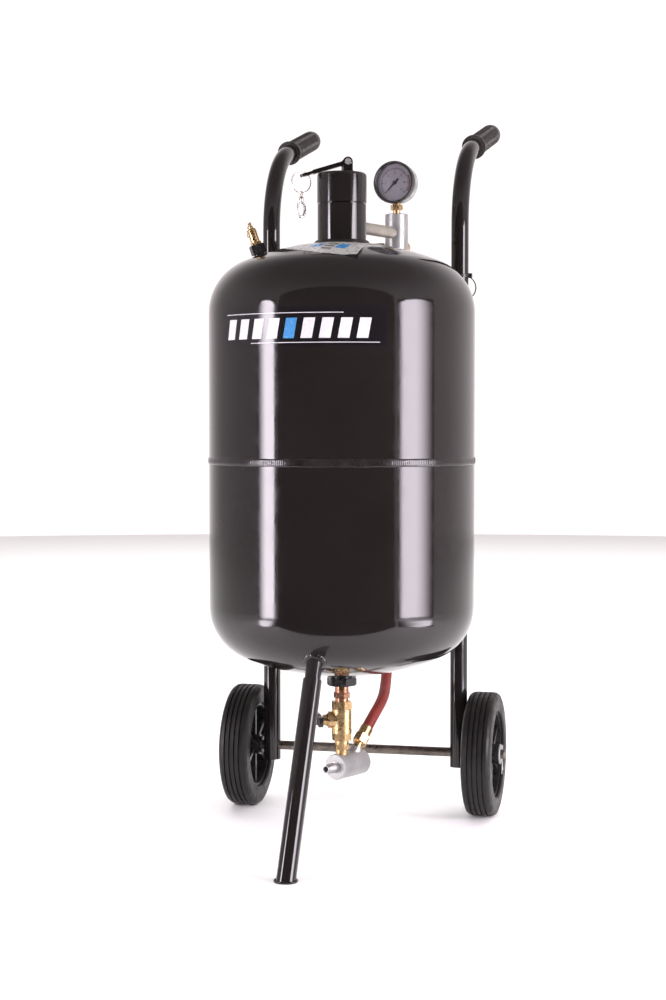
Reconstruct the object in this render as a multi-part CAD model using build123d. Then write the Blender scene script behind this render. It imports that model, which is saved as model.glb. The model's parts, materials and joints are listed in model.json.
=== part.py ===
"""Wheeled pressure blasting pot: welded tank on two handle tubes, an axle and a front leg.

Everything is drawn about the tank's own axis (x to the right, y to the back, z up from
the floor) and moved by ORIGIN_SHIFT when it is written, so that the origin lies under the
middle of the whole object. Lengths are millimetres.
"""
from build123d import *
import os
from math import atan2, cos, pi, radians, sin, sqrt, tan

# ---------------------------------------------------------------- driving dimensions
ORIGIN_SHIFT = -40.9

TANK_R = 165.0
WALL = 3.0
CROWN_R = 323.0
KNUCKLE_R = 68.5
TANGENT_TOP = 646.0
TANGENT_BOTTOM = 283.0
SEAM_Z = 464.0
BEAD_HEIGHT = 10.0
BEAD_PROUD = 1.4

NECK_R = 30.15
NECK_BORE = 26.0
NECK_ROOT = 724.0
NECK_SHOULDER = 780.2
THREAD_R = 27.4
NECK_TOP = 803.0
CAP_R = 30.6
CAP_BORE = 27.8
CAP_SKIRT = 781.6
CAP_TOP = 819.0
SEAL_THICK = 3.0

LEVER_PLAN = 200.0
LEVER_DROP = 17.0
LEVER_LENGTH = 61.0
LEVER_WIDTH = 10.0
LEVER_THICK = 5.4
TIP_THICK = 3.6
PIVOT_BACK = 6.5
PIVOT_Z = 832.4
PIN_R = 2.5
RING_PLAN = 222.0
RING_R = 13.1
RING_WIRE = 0.9
RING_HOLE_LONG = 9.8
RING_HOLE_WIDE = 7.4
RING_OUT = 7.6
GATE_Z = -20.5

TUBE_R = 11.25
TUBE_BORE = 9.75
TUBE_X = 126.0
TUBE_Y = 131.0
TUBE_FOOT = 61.5
BEND_Z = 764.0
BEND_R = 115.0
BEND_TURN = 75.0
SPLAY = 1.0
BRACKET_HEIGHTS = (345.0, 585.0)
TIE_Z = 700.0
GRIP_START = 12.0
GRIP_LENGTH = 145.0
GRIP_R = 14.2
GRIP_FLANGE_R = 16.2

AXLE_Z = 80.0
AXLE_R = 6.0
AXLE_END = 188.0
WHEEL_X = 159.5
TYRE_R = 80.0
TYRE_WIDTH = 38.0
RIM_R = 56.0
HUB_R = 13.0
HUB_IN = 17.0
HUB_OUT = 20.0
COTTER_X = 183.6
GROOVES = (-9.6, -3.2, 3.2, 9.6)
GROOVE_DEPTH = 2.2
RIB_COUNT = 6

LEG_TOP = (0.0, -151.6, 209.0)
LEG_FOOT = (0.0, -274.0, 0.0)
FOOT_R = 13.7
FOOT_THICK = 2.6
STUB_R = 9.6

MANIFOLD_X = 43.0
MANIFOLD_Y = 129.0
MANIFOLD_R = 15.0
MANIFOLD_BOTTOM = 710.0
MANIFOLD_TOP = 780.6
PIPE_Z = 756.0
PIPE_R = 7.6
GAUGE_Z = 821.0
GAUGE_TURN = 9.0
DIAL_Z = 5.4
INLET_Z = 722.0
INLET_PLAN = 165.0
INLET_REACH = 43.0
ELBOW_Z = 742.0
ELBOW_Y = 179.0
ELBOW_DROP = 12.5

SAFETY_X = -97.0
SAFETY_Y = -30.0
SAFETY_EYE = 40.2
PULL_RING_R = 8.0
PULL_RING_LEAN = 25.0

BUSHING_FLATS = 33.0
THROAT_R = 13.0
THROAT_TOP = 206.0
BUSHING_TOP = 192.4
BUSHING_LOW = 182.4
NIPPLE_HEX_TOP = 173.8
NIPPLE_HEX_LOW = 166.4
VALVE_TOP = 162.5
VALVE_SHOULDER = 152.5
BARREL_LOW = 127.0
END_HEX_TOP = 122.3
VALVE_FOOT = 113.2
BLOCK_HEX_TOP = 108.1
BLOCK_HEX_LOW = 102.1
BLOCK_NIPPLE_FOOT = 88.0
FLOW_R = 5.2
VALVE_STEM_PLAN = 200.0
VALVE_Z = 139.0
BLOCK_PLAN = 67.0
BLOCK_Z = 81.0
BLOCK_R = 16.0
BLOCK_FRONT = 14.0
BLOCK_BACK = 41.0
BARB_LENGTH = 19.5
PORT_BACK = 14.0
PORT_RISE = 45.0
PORT_FACE = 23.5
HOSE_R = 7.2
HOSE_BORE = 4.0
COUPLING_LENGTH = 33.5
SPIGOT = 9.0
SPIGOT_R = 6.2
SLEEVE_DEPTH = 12.0


# ---------------------------------------------------------------- helpers
def write(name, *solids):
    """Write one sub-part as parts/NAME.step, moved to the object's own origin."""
    moved = [Pos(0, ORIGIN_SHIFT, 0) * solid for solid in solids]
    shape = moved[0] if len(moved) == 1 else Compound(children=moved)
    shape.label = name
    export_step(shape, "parts/%s.step" % name)


def rod(radius, low, high, x=0.0, y=0.0):
    """Upright cylinder between two heights."""
    return Pos(x, y, (low + high) / 2) * Cylinder(radius, high - low)


def pipe(outer, inner, low, high):
    """Upright hollow cylinder."""
    return rod(outer, low, high) - rod(inner, low - 1, high + 1)


def hexagon(across_flats, low, high, chamfer_by=0.0):
    """Upright hexagon bar between two heights, with its corners eased at both ends."""
    bar = extrude(Plane.XY.offset(low) * RegularPolygon(across_flats / 2, 6, major_radius=False),
                  high - low)
    if chamfer_by:
        corner = across_flats / 2 / cos(radians(30))
        eased = chamfer(rod(corner, low, high).edges(), chamfer_by)
        bar = bar & eased
    return bar


def turned(points):
    """Solid of revolution about z from an (r, z) outline."""
    outline = Polyline(*[(r, 0, z) for r, z in points], close=True)
    return revolve(make_face(outline.edges()), Axis.Z)


def frame_at(origin, direction, side=(0, 0, 1)):
    """Location whose z axis runs along a direction and whose x axis is square to side."""
    z_dir = Vector(*direction).normalized()
    x_dir = Vector(*side).cross(z_dir)
    return Plane(origin=Vector(*origin), x_dir=x_dir, z_dir=z_dir).location


def plan(degrees, length=1.0):
    """Horizontal vector at an angle from +x."""
    return Vector(cos(radians(degrees)), sin(radians(degrees)), 0) * length


# ---------------------------------------------------------------- tank
def head_arcs(radius, crown, knuckle, tangent, up):
    """Crown arc and knuckle arc of a dished end, from the axis out to the straight side."""
    drop = sqrt((crown - knuckle) ** 2 - (radius - knuckle) ** 2)
    turn = atan2(radius - knuckle, drop)

    def on_crown(angle):
        return (crown * sin(angle), 0, tangent + up * (crown * cos(angle) - drop))

    def on_knuckle(angle):
        return (radius - knuckle + knuckle * sin(angle), 0, tangent + up * knuckle * cos(angle))

    middle = (turn + pi / 2) / 2
    return [ThreePointArc(on_crown(0), on_crown(turn / 2), on_crown(turn)),
            ThreePointArc(on_knuckle(turn), on_knuckle(middle), on_knuckle(pi / 2))]


def head_height(r):
    """Height of the dished end's outside above its tangent line at a radius."""
    drop = sqrt((CROWN_R - KNUCKLE_R) ** 2 - (TANK_R - KNUCKLE_R) ** 2)
    turn = atan2(TANK_R - KNUCKLE_R, drop)
    if r < CROWN_R * sin(turn):
        return sqrt(CROWN_R ** 2 - r ** 2) - drop
    return sqrt(KNUCKLE_R ** 2 - (r - TANK_R + KNUCKLE_R) ** 2)


def shell(tangent, up, wall=WALL):
    """Half of the tank: a dished end and its straight side down to the girth seam."""
    outer = head_arcs(TANK_R, CROWN_R, KNUCKLE_R, tangent, up)
    inner = head_arcs(TANK_R - wall, CROWN_R - wall, KNUCKLE_R - wall, tangent, up)
    rim_out = (TANK_R, 0, SEAM_Z)
    rim_in = (TANK_R - wall, 0, SEAM_Z)
    edges = outer + [Line(outer[1] @ 1, rim_out), Line(rim_out, rim_in),
                     Line(rim_in, inner[1] @ 1)] + inner + [Line(inner[0] @ 0, outer[0] @ 0)]
    return revolve(make_face(edges), Axis.Z)


def tank_solid():
    """The tank's outside as one solid, for trimming what is welded to it."""
    halves = []
    for tangent, up in ((TANGENT_TOP, 1), (TANGENT_BOTTOM, -1)):
        outer = head_arcs(TANK_R, CROWN_R, KNUCKLE_R, tangent, up)
        edges = outer + [Line(outer[1] @ 1, (TANK_R, 0, SEAM_Z)),
                         Line((TANK_R, 0, SEAM_Z), (0, 0, SEAM_Z)),
                         Line((0, 0, SEAM_Z), outer[0] @ 0)]
        halves.append(revolve(make_face(edges), Axis.Z))
    return halves[0] + halves[1]


def weld_bead():
    """Girth weld: a low rounded band round the seam."""
    arc = ThreePointArc((TANK_R, 0, SEAM_Z - BEAD_HEIGHT / 2), (TANK_R + BEAD_PROUD, 0, SEAM_Z),
                        (TANK_R, 0, SEAM_Z + BEAD_HEIGHT / 2))
    return revolve(make_face([arc, Line(arc @ 1, arc @ 0)]), Axis.Z)


# ---------------------------------------------------------------- filler neck and cap
def pipe_line():
    """Unit vector in plan from the neck to the manifold, and the distance."""
    line = Vector(MANIFOLD_X, MANIFOLD_Y, 0)
    return line.normalized(), line.length


def filler_neck():
    """Neck welded into the dome, with the turned-down thread that takes the cap."""
    thread = [(THREAD_R - 0.9, NECK_SHOULDER), (THREAD_R - 0.9, NECK_SHOULDER + 2)]
    for turn in range(5):
        low = NECK_SHOULDER + 3 + 3.4 * turn
        thread += [(THREAD_R, low), (THREAD_R, low + 1.4), (THREAD_R - 0.9, low + 2.2),
                   (THREAD_R - 0.9, low + 2.6)]
    outline = [(NECK_BORE, NECK_ROOT), (NECK_R, NECK_ROOT), (NECK_R, NECK_SHOULDER)]
    outline += thread + [(THREAD_R - 1.2, NECK_TOP), (NECK_BORE, NECK_TOP)]
    direction, _ = pipe_line()
    port = frame_at((0, 0, PIPE_Z), direction) * rod(PIPE_R, 10, 40)
    return turned(outline) - port


def filler_cap():
    """Screw cap with a rounded top edge; its bore clears the neck's thread."""
    ceiling = NECK_TOP + SEAL_THICK + 0.4
    body = fillet(rod(CAP_R, CAP_SKIRT, CAP_TOP).edges().group_by(Axis.Z)[-1], 3.8)
    return body - rod(CAP_BORE, CAP_SKIRT - 1, ceiling)


def pivot_point():
    """Centre of the lever's pin, set back from the cap's centre."""
    return Vector(0, 0, PIVOT_Z) - plan(LEVER_PLAN, PIVOT_BACK)


def lever_frame(drop=LEVER_DROP):
    """x along the lever from pin to tip, y across it, z up out of its flat face."""
    flat = plan(LEVER_PLAN)
    along = flat * cos(radians(drop)) - Vector(0, 0, sin(radians(drop)))
    across = Vector(0, 0, 1).cross(flat)
    return Plane(origin=pivot_point(), x_dir=along, z_dir=along.cross(across)).location


def cap_lug():
    """Welded clevis: a foot plate and two ears that hold the pin."""
    top = PIVOT_Z - CAP_TOP
    foot = Pos(0, 0, -top + 1.5) * Box(13, 18.8, 3)
    ears = []
    for side in (-1, 1):
        profile = Pos(0, -top / 2) * Rectangle(12, top) + Circle(6)
        ears.append(Pos(0, side * 7.4, 0) * extrude(Plane.XZ * profile, 2, both=True))
    upright = lever_frame(0)
    across_pin = Rot(90, 0, 0) * Cylinder(PIN_R, 40)
    return upright * (foot + ears[0] + ears[1] - across_pin)


def handle_pin():
    """Lever pin with two flat heads outside the ears."""
    shank = Rot(90, 0, 0) * Cylinder(PIN_R, 22)
    heads = [Pos(0, side * 10.4, 0) * Rot(90, 0, 0) * Cylinder(4, 1.6) for side in (-1, 1)]
    return lever_frame(0) * (shank + heads[0] + heads[1])


def lid_handle():
    """Flat lever with an eye at the pin and a thinned tip slotted for the ring."""
    tab = 17.0
    bar = Pos((LEVER_LENGTH - tab) / 2, 0, 0) * Box(LEVER_LENGTH - tab, LEVER_WIDTH, LEVER_THICK)
    eye = Rot(90, 0, 0) * Cylinder(5, LEVER_WIDTH)
    tip_outline = Pos(LEVER_LENGTH - tab / 2 - 3.5, 0) * SlotOverall(tab + 7, LEVER_WIDTH)
    tip = extrude(tip_outline, TIP_THICK / 2, both=True)
    slot = SlotOverall(RING_HOLE_LONG, RING_HOLE_WIDE)
    hole = Pos(LEVER_LENGTH - 9, 0, 0) * extrude(slot, 10, both=True)
    bore = Rot(90, 0, 0) * Cylinder(PIN_R + 0.1, 20)
    return lever_frame() * (bar + eye + tip - hole - bore)


def ring_centre():
    """Centre of the split ring where it hangs from the lever's tip."""
    hole = (lever_frame() * Pos(LEVER_LENGTH - 9, 0, TIP_THICK / 2)).position
    out = plan(RING_PLAN)
    return hole + out * RING_OUT - Vector(0, 0, RING_R - RING_WIRE - 0.35)


def split_ring():
    """Key ring through the lever's tip."""
    axis = plan(RING_PLAN + 90)
    return frame_at(ring_centre(), axis) * Torus(RING_R, RING_WIRE)


def clasp_frame():
    """Origin on the ring's lowest point, x along the ring's wire, z up."""
    low = ring_centre() - Vector(0, 0, RING_R)
    return Plane(origin=low, x_dir=plan(RING_PLAN), z_dir=(0, 0, 1)).location


def clasp_swivel():
    """Swivel eye over the ring with its short headed pin."""
    eye = Pos(0, 0, -0.8) * Rot(0, 90, 0) * Torus(2.7, 0.6)
    pin = rod(0.8, -9.0, -3.2) + rod(1.5, -9.4, -8.2)
    return clasp_frame() * (eye + pin)


def clasp_body():
    """Lobster hook: collar round the swivel pin, then an open oval loop."""
    collar = pipe(2.6, 1.0, -7.6, -4.6) + pipe(2.6, 1.9, -10.2, -7.6)
    floor = rod(2.6, -12.0, -10.2)
    loop = Pos(0, -20.7) * (Ellipse(6.2, 10.4) - Pos(0.3, 0) * Ellipse(3.7, 7.9))
    gate_gap = Pos(4.9, GATE_Z) * Rectangle(4.4, 9.6)
    hook = extrude(Plane.XZ * (loop - gate_gap), 1.3, both=True)
    hook = hook - rod(2.2, -11.5, -4)
    return clasp_frame() * (collar + floor + hook)


def clasp_gate():
    """Sprung gate that closes the loop."""
    arm = Pos(4.95, GATE_Z) * SlotOverall(8.8, 1.8, rotation=90)
    return clasp_frame() * extrude(Plane.XZ * arm, 1.1, both=True)


# ---------------------------------------------------------------- air manifold and gauge
def manifold_body():
    """Round zinc-plated manifold: ports for neck pipe, gauge, inlet valve and hose elbow."""
    block = rod(MANIFOLD_R, MANIFOLD_BOTTOM, MANIFOLD_TOP)
    block = chamfer(block.edges().filter_by(GeomType.CIRCLE), 0.8)
    cavity = rod(9, MANIFOLD_BOTTOM + 6, MANIFOLD_TOP - 10)
    gauge_port = rod(4.5, MANIFOLD_TOP - 12, MANIFOLD_TOP + 1)
    inlet_port = Pos(0, 0, INLET_Z) * frame_at((0, 0, 0), plan(INLET_PLAN)) * rod(5.5, 5, 20)
    elbow_port = Pos(0, 0, ELBOW_Z) * frame_at((0, 0, 0), (0, 1, 0)) * rod(5.5, 5, 20)
    direction, _ = pipe_line()
    pipe_port = Pos(0, 0, PIPE_Z) * frame_at((0, 0, 0), direction * -1) * rod(5.5, 5, 20)
    ports = [gauge_port, inlet_port, elbow_port, pipe_port]
    return Pos(MANIFOLD_X, MANIFOLD_Y, 0) * (block - cavity - ports)


def air_pipe():
    """Galvanised pipe from the neck to the manifold."""
    direction, distance = pipe_line()
    length = distance - 2
    tube = frame_at((0, 0, PIPE_Z), direction) * pipe(PIPE_R, 5.5, 27.2, length)
    outside = Pos(MANIFOLD_X, MANIFOLD_Y, 0) * rod(MANIFOLD_R, 700, 800)
    return tube - outside


def gauge_frame():
    """x to the dial's right, y up, z out of the dial, origin on the stem's axis."""
    facing = plan(-90 - GAUGE_TURN)
    centre = (MANIFOLD_X, MANIFOLD_Y, GAUGE_Z)
    return Plane(origin=centre, x_dir=Vector(0, 0, 1).cross(facing), z_dir=facing).location


def gauge_socket():
    """Brass stem: thread, neck, hexagon and the block inside the case."""
    low = MANIFOLD_TOP
    thread = rod(4.5, low - 9, low) + rod(4.6, low, low + 5.5)
    upper = hexagon(14, low + 5.5, low + 12.5, 0.8) + rod(5.0, low + 12.5, low + 29)
    bore = rod(1.5, low - 10, low + 24)
    return Pos(MANIFOLD_X, MANIFOLD_Y, 0) * (thread + upper - bore)


def gauge_case():
    """Pressed cup with a hole in its side for the stem."""
    cup = rod(25.5, -12, 10) - rod(24.2, -10.5, 11)
    hole = Pos(0, -25, 0) * Rot(90, 0, 0) * Cylinder(5.2, 12)
    return gauge_frame() * (fillet(cup.edges().group_by(Axis.Z)[0], 1.2) - hole)


def gauge_bezel():
    """Black snap-on ring that holds the lens."""
    ring = turned([(25.6, DIAL_Z), (27.2, DIAL_Z), (27.4, 12.6), (26.6, 14), (24.9, 14), (24.1, 13.0),
                   (24.1, 12.2), (25.6, 12.2)])
    return gauge_frame() * ring


def gauge_dial():
    """Dial plate with a clearance hole for the pointer's shaft."""
    return gauge_frame() * (rod(23.8, DIAL_Z, DIAL_Z + 0.8) - rod(1.8, 3, 8))


def gauge_pointer():
    """Pointer, hub and shaft; at rest it points to the lower left, at zero."""
    blade = extrude(Plane.XY.offset(DIAL_Z + 1.8) * make_face(Polyline(
        (-7, -1.3), (-7, 1.3), (0, 1.3), (17.5, 0.25), (17.5, -0.25), (0, -1.3), close=True)), 0.7)
    hub = rod(2.6, DIAL_Z + 1.4, DIAL_Z + 3.2) + rod(0.9, -6, DIAL_Z + 1.6)
    return gauge_frame() * Rot(0, 0, 225) * (blade + hub)


def gauge_lens():
    """Clear lens under the bezel's lip."""
    return gauge_frame() * rod(25.3, 10.2, 12.0)


def bourdon_tube():
    """Curved pressure tube behind the dial, rooted on the stem's block."""
    sweep_face = Location((16.5, 0, 0), (90, 0, 0)) * Ellipse(1.4, 3.2)
    tube = revolve(sweep_face, Axis.Z, 250)
    return gauge_frame() * Pos(0, 0, -2.5) * Rot(0, 0, -76) * tube


def inlet_stem():
    """Where the inlet valve's stem crosses its bore."""
    return Vector(MANIFOLD_X, MANIFOLD_Y, INLET_Z) + plan(INLET_PLAN, INLET_REACH)


def inlet_frame():
    """Frame at the inlet valve's stem with z pointing out of the manifold along the bore."""
    return frame_at(inlet_stem(), plan(INLET_PLAN))


def inlet_upright():
    """Frame at the inlet valve's stem with x along the bore and z up."""
    return Plane(origin=inlet_stem(), x_dir=plan(INLET_PLAN), z_dir=(0, 0, 1)).location


def inlet_valve_body():
    """Brass body of the inlet ball valve, with its stem boss on top."""
    wall = INLET_REACH - MANIFOLD_R
    spigot = rod(5.5, -wall - 6, -wall + 1)
    barrel = hexagon(19, -wall + 0.4, -15, 0.8) + rod(10.2, -15.2, 15.2) + hexagon(19, 15, 26, 0.8)
    body = inlet_frame() * (spigot + barrel)
    boss = inlet_upright() * rod(6.0, 0, 14.5)
    bore = inlet_frame() * rod(4.5, -60, 60)
    cavity = inlet_upright() * Sphere(7.7)
    stem_hole = inlet_upright() * rod(3.1, 0, 20)
    socket = inlet_frame() * rod(5.6, 16, 30)
    return body + boss - bore - cavity - stem_hole - socket


def inlet_valve_ball():
    """Drilled ball and its stem."""
    ball = Sphere(7.5) - Rot(0, 90, 0) * Cylinder(4.5, 30)
    stem = rod(3.0, 6.6, 18.5) + rod(2.2, 18.5, 23.5)
    return inlet_upright() * (ball + stem)


def wing_lever(length, width, thick, bore):
    """Two-winged valve handle, waisted at the hub, standing on z = 0."""
    outline = SlotOverall(length, width) - Pos(0, width * 0.98) * Ellipse(length * 0.22, width * 0.62)
    outline = outline - Pos(0, -width * 0.98) * Ellipse(length * 0.22, width * 0.62)
    wings = extrude(outline, thick)
    hub = rod(width * 0.55, 0, thick + 1.0)
    return fillet((wings + hub).edges().group_by(Axis.Z)[-1], 0.6) - rod(bore, -1, thick + 4)


def inlet_valve_lever():
    """Black lever on the inlet valve's stem, in line with the bore when open."""
    lever = wing_lever(50, 10, 3.6, 2.2)
    return inlet_upright() * Pos(0, 0, 18.5) * lever


def inlet_plug():
    """Air-line plug: thread, hexagon and the grooved nose."""
    thread = rod(5.6, 17, 26)
    nose = turned([(0, 30), (5.6, 30), (5.6, 34), (4.4, 35), (4.4, 39), (5.2, 40), (5.2, 50),
                   (4.4, 52), (0, 52)])
    return inlet_frame() * (thread + hexagon(15, 26, 31, 0.8) + nose - rod(2.8, 10, 60))


# ---------------------------------------------------------------- hose and its fittings
def hose_elbow():
    """Brass elbow from the back of the manifold, turned down to the hose."""
    out = frame_at((MANIFOLD_X, 0, ELBOW_Z), (0, 1, 0))
    wall = MANIFOLD_Y + MANIFOLD_R
    arm = out * (rod(5.5, wall - 6, wall + 1) + hexagon(15, wall + 0.4, wall + 10, 0.8)
                 + rod(6.6, wall + 9, ELBOW_Y))
    knee = Pos(MANIFOLD_X, ELBOW_Y, ELBOW_Z) * Sphere(8.4)
    drop = rod(6.6, ELBOW_Z - ELBOW_DROP, ELBOW_Z, MANIFOLD_X, ELBOW_Y)
    bores = out * rod(3.4, wall - 10, ELBOW_Y) + rod(3.4, ELBOW_Z - 24, ELBOW_Z, MANIFOLD_X, ELBOW_Y)
    return arm + knee + drop - bores


def port_direction():
    """Unit vector of the angled air port on the mixing block."""
    return plan(BLOCK_PLAN) * cos(radians(PORT_RISE)) + Vector(0, 0, sin(radians(PORT_RISE)))


def port_origin():
    """Where the air port's axis meets the block's own axis."""
    return Vector(0, 0, BLOCK_Z) + plan(BLOCK_PLAN, PORT_BACK)


def hose_route():
    """Corner points of the hose from the elbow down behind the tank to the mixing block."""
    top = Vector(MANIFOLD_X, ELBOW_Y, ELBOW_Z - ELBOW_DROP - COUPLING_LENGTH + SLEEVE_DEPTH)
    end = port_origin() + port_direction() * (PORT_FACE + COUPLING_LENGTH - SLEEVE_DEPTH)
    lead = end + port_direction() * 26
    return [top, Vector(MANIFOLD_X, ELBOW_Y, 668), Vector(41, 180.5, 610), Vector(36.5, 179.5, 551),
            Vector(33, 180, 492), Vector(29, 179.5, 433), Vector(26.5, 180.5, 374),
            Vector(24, 180, 315), Vector(23, 180.5, 258), Vector(23, 177, 216),
            Vector(25, 157, 182.5), Vector(30, 123, 162), Vector(33, 90, 151), lead, end]


def corner_radii(points):
    """Largest tidy radius for each corner of a route."""
    radii = []
    for before, here, after in zip(points, points[1:], points[2:]):
        turn = (here - before).get_angle(after - here)
        shorter = min((here - before).length, (after - here).length)
        radii.append(0.45 * shorter / tan(radians(turn / 2)))
    return radii


def air_hose():
    """Red hose along its whole route."""
    points = hose_route()
    radii = corner_radii(points)
    path = FilletPolyline(*points, radius=radii)
    start = Plane(origin=path @ 0, z_dir=path % 0)
    section = start * (Circle(HOSE_R) - Circle(HOSE_BORE))
    hose = sweep(section, path=path)
    print("hose radii", [round(r) for r in radii], "length", round(path.length, 1))
    print("hose volume", round(hose.volume), "expected",
          round(pi * (HOSE_R ** 2 - HOSE_BORE ** 2) * path.length))
    return hose


def coupling():
    """Hose coupling: spigot on the fitting side, hexagon, and a sleeve over the hose's end."""
    shoulder = COUPLING_LENGTH - SLEEVE_DEPTH
    spigot = rod(SPIGOT_R, 0, SPIGOT + 0.5)
    nut = hexagon(17, SPIGOT, shoulder, 0.9)
    sleeve = pipe(8.3, HOSE_R + 0.1, shoulder, COUPLING_LENGTH)
    return spigot + nut + sleeve - rod(3.4, -1, shoulder + 1)


def hose_couplings():
    """The two couplings, at the elbow and at the mixing block."""
    outlet = (MANIFOLD_X, ELBOW_Y, ELBOW_Z - ELBOW_DROP)
    upper = frame_at(outlet, (0, 0, -1), (1, 0, 0)) * coupling()
    start = port_origin() + port_direction() * PORT_FACE
    lower = frame_at(start, port_direction()) * coupling()
    return [upper, lower]


# ---------------------------------------------------------------- safety valve
def safety_frame():
    """Frame standing square on the dome at the safety valve."""
    r = sqrt(SAFETY_X ** 2 + SAFETY_Y ** 2)
    lean = r / CROWN_R
    outward = Vector(SAFETY_X / r * lean, SAFETY_Y / r * lean, sqrt(1 - lean ** 2))
    return frame_at((SAFETY_X, SAFETY_Y, TANGENT_TOP + head_height(r)), outward, (0, 1, 0))


def safety_base():
    """Black hexagon socket on the dome."""
    return safety_frame() * (hexagon(17.5, 2.0, 13.6, 0.8) + rod(7, -3.2, 2.1) - rod(5.2, -5, 15))


def safety_body():
    """Brass valve body with a vent hole and a domed bonnet."""
    lower = rod(5.2, -2, 13.6) + hexagon(12, 13.6, 17.2, 0.6)
    barrel = turned([(0, 17), (5.6, 17), (5.6, 31.5), (5.2, 33.2), (4.0, 34.6), (0, 34.8)])
    vent = Pos(0, 0, 20.5) * Rot(90, 0, 0) * Cylinder(1.3, 20)
    cavity = rod(4.0, 15, 33) + rod(2.0, -3, 16) + rod(1.7, 30, 40)
    return safety_frame() * (lower + barrel - vent - cavity)


def safety_stem():
    """Valve disc, stem and the eyed head that is pulled to vent."""
    disc = rod(3.6, 15.1, 17.2) + rod(1.5, 15.1, 36)
    head = turned([(0, 35.0), (3.0, 35.0), (3.0, 36.6), (2.2, 37.6), (2.2, 42.0), (0, 42.5)])
    eye = Pos(0, 0, SAFETY_EYE) * Rot(90, 0, 0) * Cylinder(1.1, 12)
    return safety_frame() * (disc + head - eye)


def safety_spring():
    """Compression spring above the valve disc."""
    path = Helix(pitch=2.6, height=11.4, radius=2.75)
    wire = sweep(Plane(origin=path @ 0, z_dir=path % 0) * Circle(0.45), path=path)
    return safety_frame() * Pos(0, 0, 20.6) * wire


def safety_ring():
    """Pull ring through the head's eye, hanging against the outer side of the barrel."""
    out, down = sin(radians(PULL_RING_LEAN)), cos(radians(PULL_RING_LEAN))
    centre = (-PULL_RING_R * out, 0, SAFETY_EYE - PULL_RING_R * down)
    seat = Plane(origin=centre, x_dir=(0, 1, 0), z_dir=(-down, 0, out)).location
    return safety_frame() * seat * Torus(PULL_RING_R, 0.55)


# ---------------------------------------------------------------- frame
def handle_path(side):
    """Centre line of a handle tube: upright, one long bend, straight grip end."""
    turn = radians(BEND_TURN)
    back = Vector(side * sin(radians(SPLAY)), cos(radians(SPLAY)), 0)
    up = Vector(0, 0, 1)
    foot = Vector(side * TUBE_X, TUBE_Y, TUBE_FOOT)
    start = Vector(side * TUBE_X, TUBE_Y, BEND_Z)

    def on_bend(angle):
        return start + back * (BEND_R * (1 - cos(angle))) + up * (BEND_R * sin(angle))

    along = back * sin(turn) + up * cos(turn)
    end = on_bend(turn) + along * (GRIP_START + GRIP_LENGTH - 5)
    wire = Wire([Line(foot, start), ThreePointArc(start, on_bend(turn / 2), on_bend(turn)),
                 Line(on_bend(turn), end)])
    return wire, on_bend(turn), along


def handle_tube(side):
    """Bent handle tube, drilled for the axle."""
    path, _, _ = handle_path(side)
    section = Plane(origin=path @ 0, z_dir=(0, 0, 1)) * (Circle(TUBE_R) - Circle(TUBE_BORE))
    hole = Pos(side * TUBE_X, TUBE_Y, AXLE_Z) * Rot(0, 90, 0) * Cylinder(AXLE_R, 60)
    return sweep(section, path=path) - hole


def grip(side):
    """Rubber grip with a guard flange and a rounded closed end."""
    _, start, along = handle_path(side)
    length = GRIP_LENGTH
    body = fillet(rod(GRIP_R, 0, length).edges().group_by(Axis.Z)[-1], 9)
    flange = fillet(rod(GRIP_FLANGE_R, 0, 4).edges().filter_by(GeomType.CIRCLE), 1.2)
    bore = rod(TUBE_R, -1, length - 5)
    return frame_at(start + along * GRIP_START, along, (1, 0, 0)) * (body + flange - bore)


def tank_brackets():
    """Four short plates that join the handle tubes to the tank."""
    plates = []
    tank = tank_solid()
    for side in (-1, 1):
        angle = atan2(TUBE_Y, side * TUBE_X)
        tube = Pos(side * TUBE_X, TUBE_Y, 400) * Cylinder(TUBE_R, 900)
        for height in BRACKET_HEIGHTS:
            spot = Pos(cos(angle) * 171, sin(angle) * 171, height) * Rot(0, 0, angle * 180 / pi)
            plates.append((spot * Box(17, 14, 46)) - tank - tube)
    return plates


def axle():
    """Axle with domed ends, drilled for the cotter pins."""
    bar = fillet(rod(AXLE_R, -AXLE_END, AXLE_END).edges().filter_by(GeomType.CIRCLE), 2.5)
    bar = Pos(0, TUBE_Y, AXLE_Z) * Rot(0, 90, 0) * bar
    for side in (-1, 1):
        bar = bar - rod(1.2, AXLE_Z - 20, AXLE_Z + 20, side * COTTER_X, TUBE_Y)
    return bar


def wheel_frame(side):
    """Frame at a wheel's centre with z pointing outward along the axle."""
    return frame_at((side * WHEEL_X, TUBE_Y, AXLE_Z), (side, 0, 0), (0, 1, 0))


def tyre():
    """Solid rubber tyre: rounded shoulders and four tread grooves."""
    half = TYRE_WIDTH / 2
    outline = [(RIM_R, -half + 1.5), (RIM_R + 2, -half), (TYRE_R - 7, -half),
               (TYRE_R - 2.5, -half + 1.8), (TYRE_R - 0.6, -half + 4.5)]
    bottom = TYRE_R - GROOVE_DEPTH
    for groove in GROOVES:
        outline += [(TYRE_R, groove - 1.0), (bottom, groove - 0.7), (bottom, groove + 0.7),
                    (TYRE_R, groove + 1.0)]
    outline += [(TYRE_R - 0.6, half - 4.5), (TYRE_R - 2.5, half - 1.8), (TYRE_R - 7, half),
                (RIM_R + 2, half), (RIM_R, half - 1.5)]
    return turned(outline)


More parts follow.
